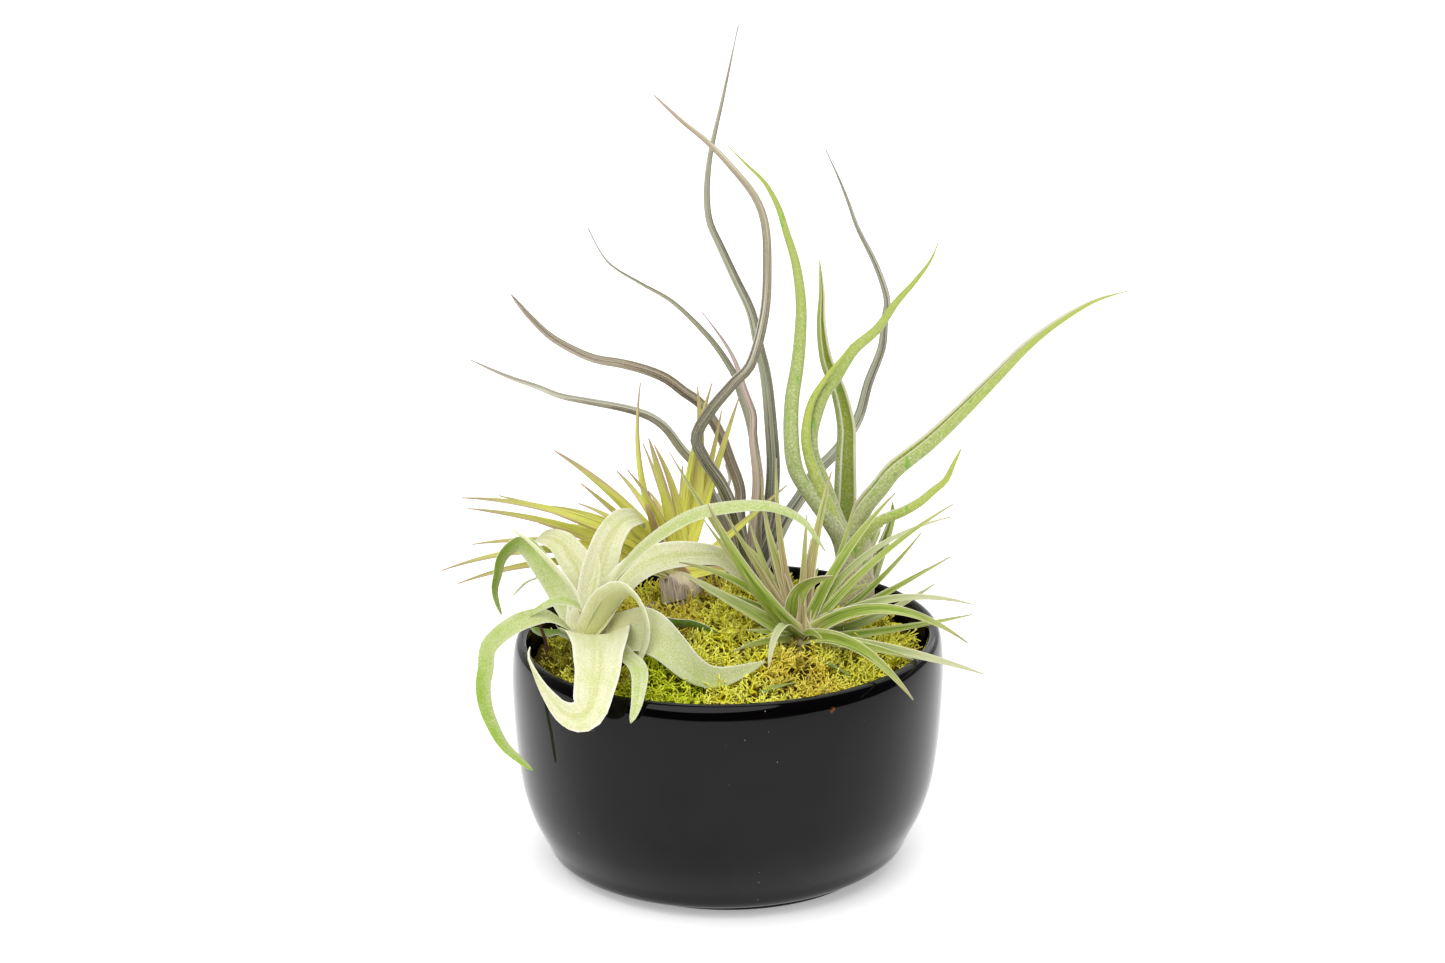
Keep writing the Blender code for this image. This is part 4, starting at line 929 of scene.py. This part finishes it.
def moss_finish(name):
    """Dark between the strands, which is painted shade, and bright at their tips, with brownish
    patches.
    """
    deep, middle, light = MOSS_COLOURS[name]
    finish = Finish(name, 0.85)
    patches = finish.grain(finish.place(), 0.011, 3)
    tip, shade = finish.attribute("tip"), finish.attribute("shade")
    # The deep colour, at the strands' roots and on the clump between them, is painted shade.
    finish.colour = finish.ramp(tip, (0.0, *deep), (0.3, *middle), (1.0, *light))
    # Tufts with a low shade value take on the deep colour: a random tone, plus painted shade in the
    # hollows and round the hearts.
    finish.lay(finish.span(shade, 0.3, -0.4, 0, 0.85), srgb(*deep))
    finish.lay(finish.span(patches, 0.58, 0.72, 0, 0.35), srgb(214, 184, 52))
    finish.set(Base_Color=finish.colour, Specular_IOR_Level=0.15)
    finish.bump(finish.grain(finish.place(), 0.0012, 3), 0.0006)
    return finish


plants = [BVHTree.FromObject(bpy.data.objects[name], bpy.context.evaluated_depsgraph_get())
          for name in ("wiry_air_plant", "tentacle_air_plant", "ribbon_air_plant", "spiky_air_plant",
                       "tufted_air_plant")]


def headroom(point):
    """How high a tuft may stand here before it meets a leaf, in metres."""
    hits = [tree.ray_cast(point, Vector((0, 0, 1)), TUFT_REACH * MM)[3] for tree in plants]
    return min([distance for distance in hits if distance is not None], default=TUFT_REACH * MM)


def away(point, x, y):
    """How far the point is from an upright line at x and y, in millimetres."""
    return (point.xy / MM - Vector((x, y))).length


def moss_clump(node, tufts, chance):
    """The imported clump, sunk a little, with tufts standing all over its top."""
    bm = bmesh.new()
    for layer in ("tip", "shade"):
        bm.verts.layers.float.new(layer)
    bm.from_mesh(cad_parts[node].data)
    bmesh.ops.remove_doubles(bm, verts=bm.verts, dist=0.001 * MM)
    for vert in bm.verts:
        if vert.co.z > (FILLER_TOP + 1) * MM:
            vert.co.z -= MOSS_SINK * MM
    bm.normal_update()
    tops = [face for face in bm.faces if face.normal.z > LEAST_UPWARD]
    areas = [face.calc_area() for face in tops]
    count = round(sum(areas) / MM ** 2 * TUFTS_PER_MM2)
    places = []
    for face in chance.choices(tops, areas, k=count):
        spread = [chance.expovariate(1) for _ in face.verts]
        point = sum((vert.co * part for vert, part in zip(face.verts, spread)), Vector()) / sum(spread)
        places.append((point, face.normal.copy()))
    for point, normal in places:
        room = headroom(point + Vector((0, 0, HEADROOM_START * MM)))
        relief = noise.noise(point / (MOUND_SIZE * MM))
        size = min((1 + MOUND_RELIEF * relief) * chance.uniform(*TUFT_SIZES), room / (TUFT_REACH * MM))
        if any(away(point, x, y) < radius for x, y, radius in PRESSED):
            size *= PRESSED_SHARE
        out = point.xy.length / MM
        if size < LEAST_TUFT or out > MOSS_EDGE and point.y > MOSS_FRONT * MM:
            continue
        lean = Vector((chance.gauss(0, RANDOM_LEAN), chance.gauss(0, RANDOM_LEAN), UPWARD))
        lean -= point.xy.to_3d().normalized() * max(out - MOSS_EDGE, 0) * INWARD_LEAN
        turn = (normal + lean).normalized().to_track_quat("Z", "X").to_matrix().to_4x4()
        tuft = chance.choice(tufts).copy()
        spin = Matrix.Rotation(chance.uniform(0, 6.28), 4, "Z")
        tuft.transform(Matrix.Translation(point) @ turn @ spin @ Matrix.Scale(size, 4))
        near = min(away(point, x, y) for x, y, z in HEARTS.values())
        # Random tone, lowered in the mounds' hollows and near a plant's heart as painted shade.
        shading = chance.random() + relief - HEART_SHADE * max(0, 1 - near / HEART_REACH)
        tuft.attributes["shade"].data.foreach_set("value", [shading] * len(tuft.vertices))
        bm.from_mesh(tuft)
        bpy.data.meshes.remove(tuft)
    for vert in bm.verts:
        out = vert.co.xy.length
        if out > MOSS_REACH * MM and vert.co.z < MOSS_RIM * MM:
            vert.co.xy *= MOSS_REACH * MM / out
    return bm


tufts = [curled_tuft(seed) for seed in range(TUFT_KINDS)]
finishes = {name: moss_finish(name) for name in MOSS_COLOURS}
moss_nodes = sorted(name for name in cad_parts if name.startswith("moss_"))
for number, node in enumerate(moss_nodes):
    kind = "_".join(node.split("_")[:2])
    strands = moss_clump(node, tufts, random.Random(number))
    add_piece(strands, node + "_strands", finishes[kind], kind, node)

# Loose bits: a dry brown twig that stands in the moss at the left, a dead leaf and a dark stem by
# the spiky plant, and two green scraps of leaf at the front. Nothing holds them but the moss.

# Each finish: roughness, stretch and size of its grain, its dark and light colours, and relief.
LOOSE_FINISHES = {
    "dry_twig": (0.8, (1, 1, 0.25), 0.0012, (48, 28, 18), (112, 78, 50), 0.0003),
    "dry_leaf": (0.75, (1, 1, 1), 0.0012, (128, 112, 92), (182, 168, 150), 0.0003),
    "scrap_leaf": (0.55, (1, 1, 1), 0.0015, (96, 120, 52), (150, 168, 92), 0.0002),
}
LOOSE_BITS = {
    "dry_twig": ("dry_twig", "dry_stem"),
    "dry_leaf": ("dry_scrap",),
    "scrap_leaf": ("leaf_scrap_1", "leaf_scrap_2"),
}
for name, (roughness, stretch, size, dark, light, relief) in LOOSE_FINISHES.items():
    finish = Finish(name, roughness)
    grain = finish.grain(finish.place(stretch), size, 3)
    finish.set(Base_Color=finish.ramp(grain, (0.3, *dark), (0.7, *light)))
    finish.bump(grain, relief)
    for node in LOOSE_BITS[name]:
        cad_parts[node].material_slots[0].material = finish.material

# Studio: a white sheet that runs on behind the bowl, a broad soft light from the front, a weaker
# one from the back, and two that fill the shadows and don't show in gloss. The room is white
# behind the bowl and dim everywhere else.
FLOOR_SIZE = 6
FLOOR_GAP = 0.0002

floor_bm = bmesh.new()
bmesh.ops.create_grid(floor_bm, x_segments=1, y_segments=1, size=FLOOR_SIZE)
floor_mesh = bpy.data.meshes.new("floor")
floor_bm.to_mesh(floor_mesh)
floor_bm.free()
paper = Finish("white_paper", 0.6)
paper.set(Base_Color=(0.92, 0.92, 0.92), Emission_Color=(1.0, 1.0, 1.0), Emission_Strength=0.33)
floor_mesh.materials.append(paper.material)
floor = bpy.data.objects.new("floor", floor_mesh)
floor.location.z = -FLOOR_GAP
bpy.context.scene.collection.objects.link(floor)


def soft_light(name, direction, strength, spread, in_gloss=True):
    """A broad even light that comes from this direction, and that glossy faces reflect or don't."""
    light = bpy.data.lights.new(name, "SUN")
    light.energy = strength
    light.angle = math.radians(spread)
    lamp = bpy.data.objects.new(name, light)
    lamp.rotation_euler = Vector(direction).to_track_quat("Z", "Y").to_euler()
    lamp.visible_glossy = in_gloss
    bpy.context.scene.collection.objects.link(lamp)


soft_light("front_light", (-0.25, -0.55, 1.0), 1.9, 60)
soft_light("back_light", (0.5, 0.8, 1.0), 0.9, 60)
soft_light("fill_light", (0.1, -1.0, 0.25), 1.5, 120, in_gloss=False)
soft_light("top_light", (0.0, 0.0, 1.0), 0.65, 160, in_gloss=False)

# How bright the room is, by how far a direction points towards the back, as (share, strength),
# and the strength at the top of the curve.
ROOM_LIGHT = ((-1.0, 0.05), (0.0, 0.08), (0.6, 0.3), (0.85, 0.8), (0.94, 1.1), (1.0, 1.1))
BRIGHTEST = 2

world = bpy.data.worlds.new("white_room")
bpy.context.scene.world = world
world.use_nodes = True
room = Nodes(world.node_tree)
towards_back = room.add("SeparateXYZ", "Y", {0: room.add("TexCoord", "Generated")})
curve = room.tree.nodes.new("ShaderNodeFloatCurve")
points = curve.mapping.curves[0].points
while len(points) < len(ROOM_LIGHT):
    points.new(0.5, 0.5)
for point, (share, strength) in zip(points, ROOM_LIGHT):
    point.location = ((share + 1) / 2, strength / BRIGHTEST)
    point.handle_type = "VECTOR"
curve.mapping.update()
room.put(curve.inputs["Value"], room.span(towards_back, -1, 1))
background = room.tree.nodes["Background"]
room.put(background.inputs["Strength"], room.times(curve.outputs["Value"], BRIGHTEST))
room.put(background.inputs["Color"], (1, 1, 1))

# Camera: in front of the bowl, looking down a little, and aimed at the middle of the object. Its
# long lens gives the photograph's framing.
CAMERA_PITCH = 17.2
CAMERA_DISTANCE = 1.2
CAMERA_AIM = Vector((-0.002, 0, 0.149))
LENS_LENGTH = 79.5
SENSOR_WIDTH = 36

pitch = math.radians(CAMERA_PITCH)
lens = bpy.data.cameras.new("camera")
lens.lens = LENS_LENGTH
lens.sensor_width = SENSOR_WIDTH
camera = bpy.data.objects.new("camera", lens)
camera.location = CAMERA_AIM + CAMERA_DISTANCE * Vector((0, -math.cos(pitch), math.sin(pitch)))
camera.rotation_euler = (math.pi / 2 - pitch, 0, 0)
bpy.context.scene.collection.objects.link(camera)
bpy.context.scene.camera = camera
bpy.context.scene.view_settings.view_transform = "Standard"
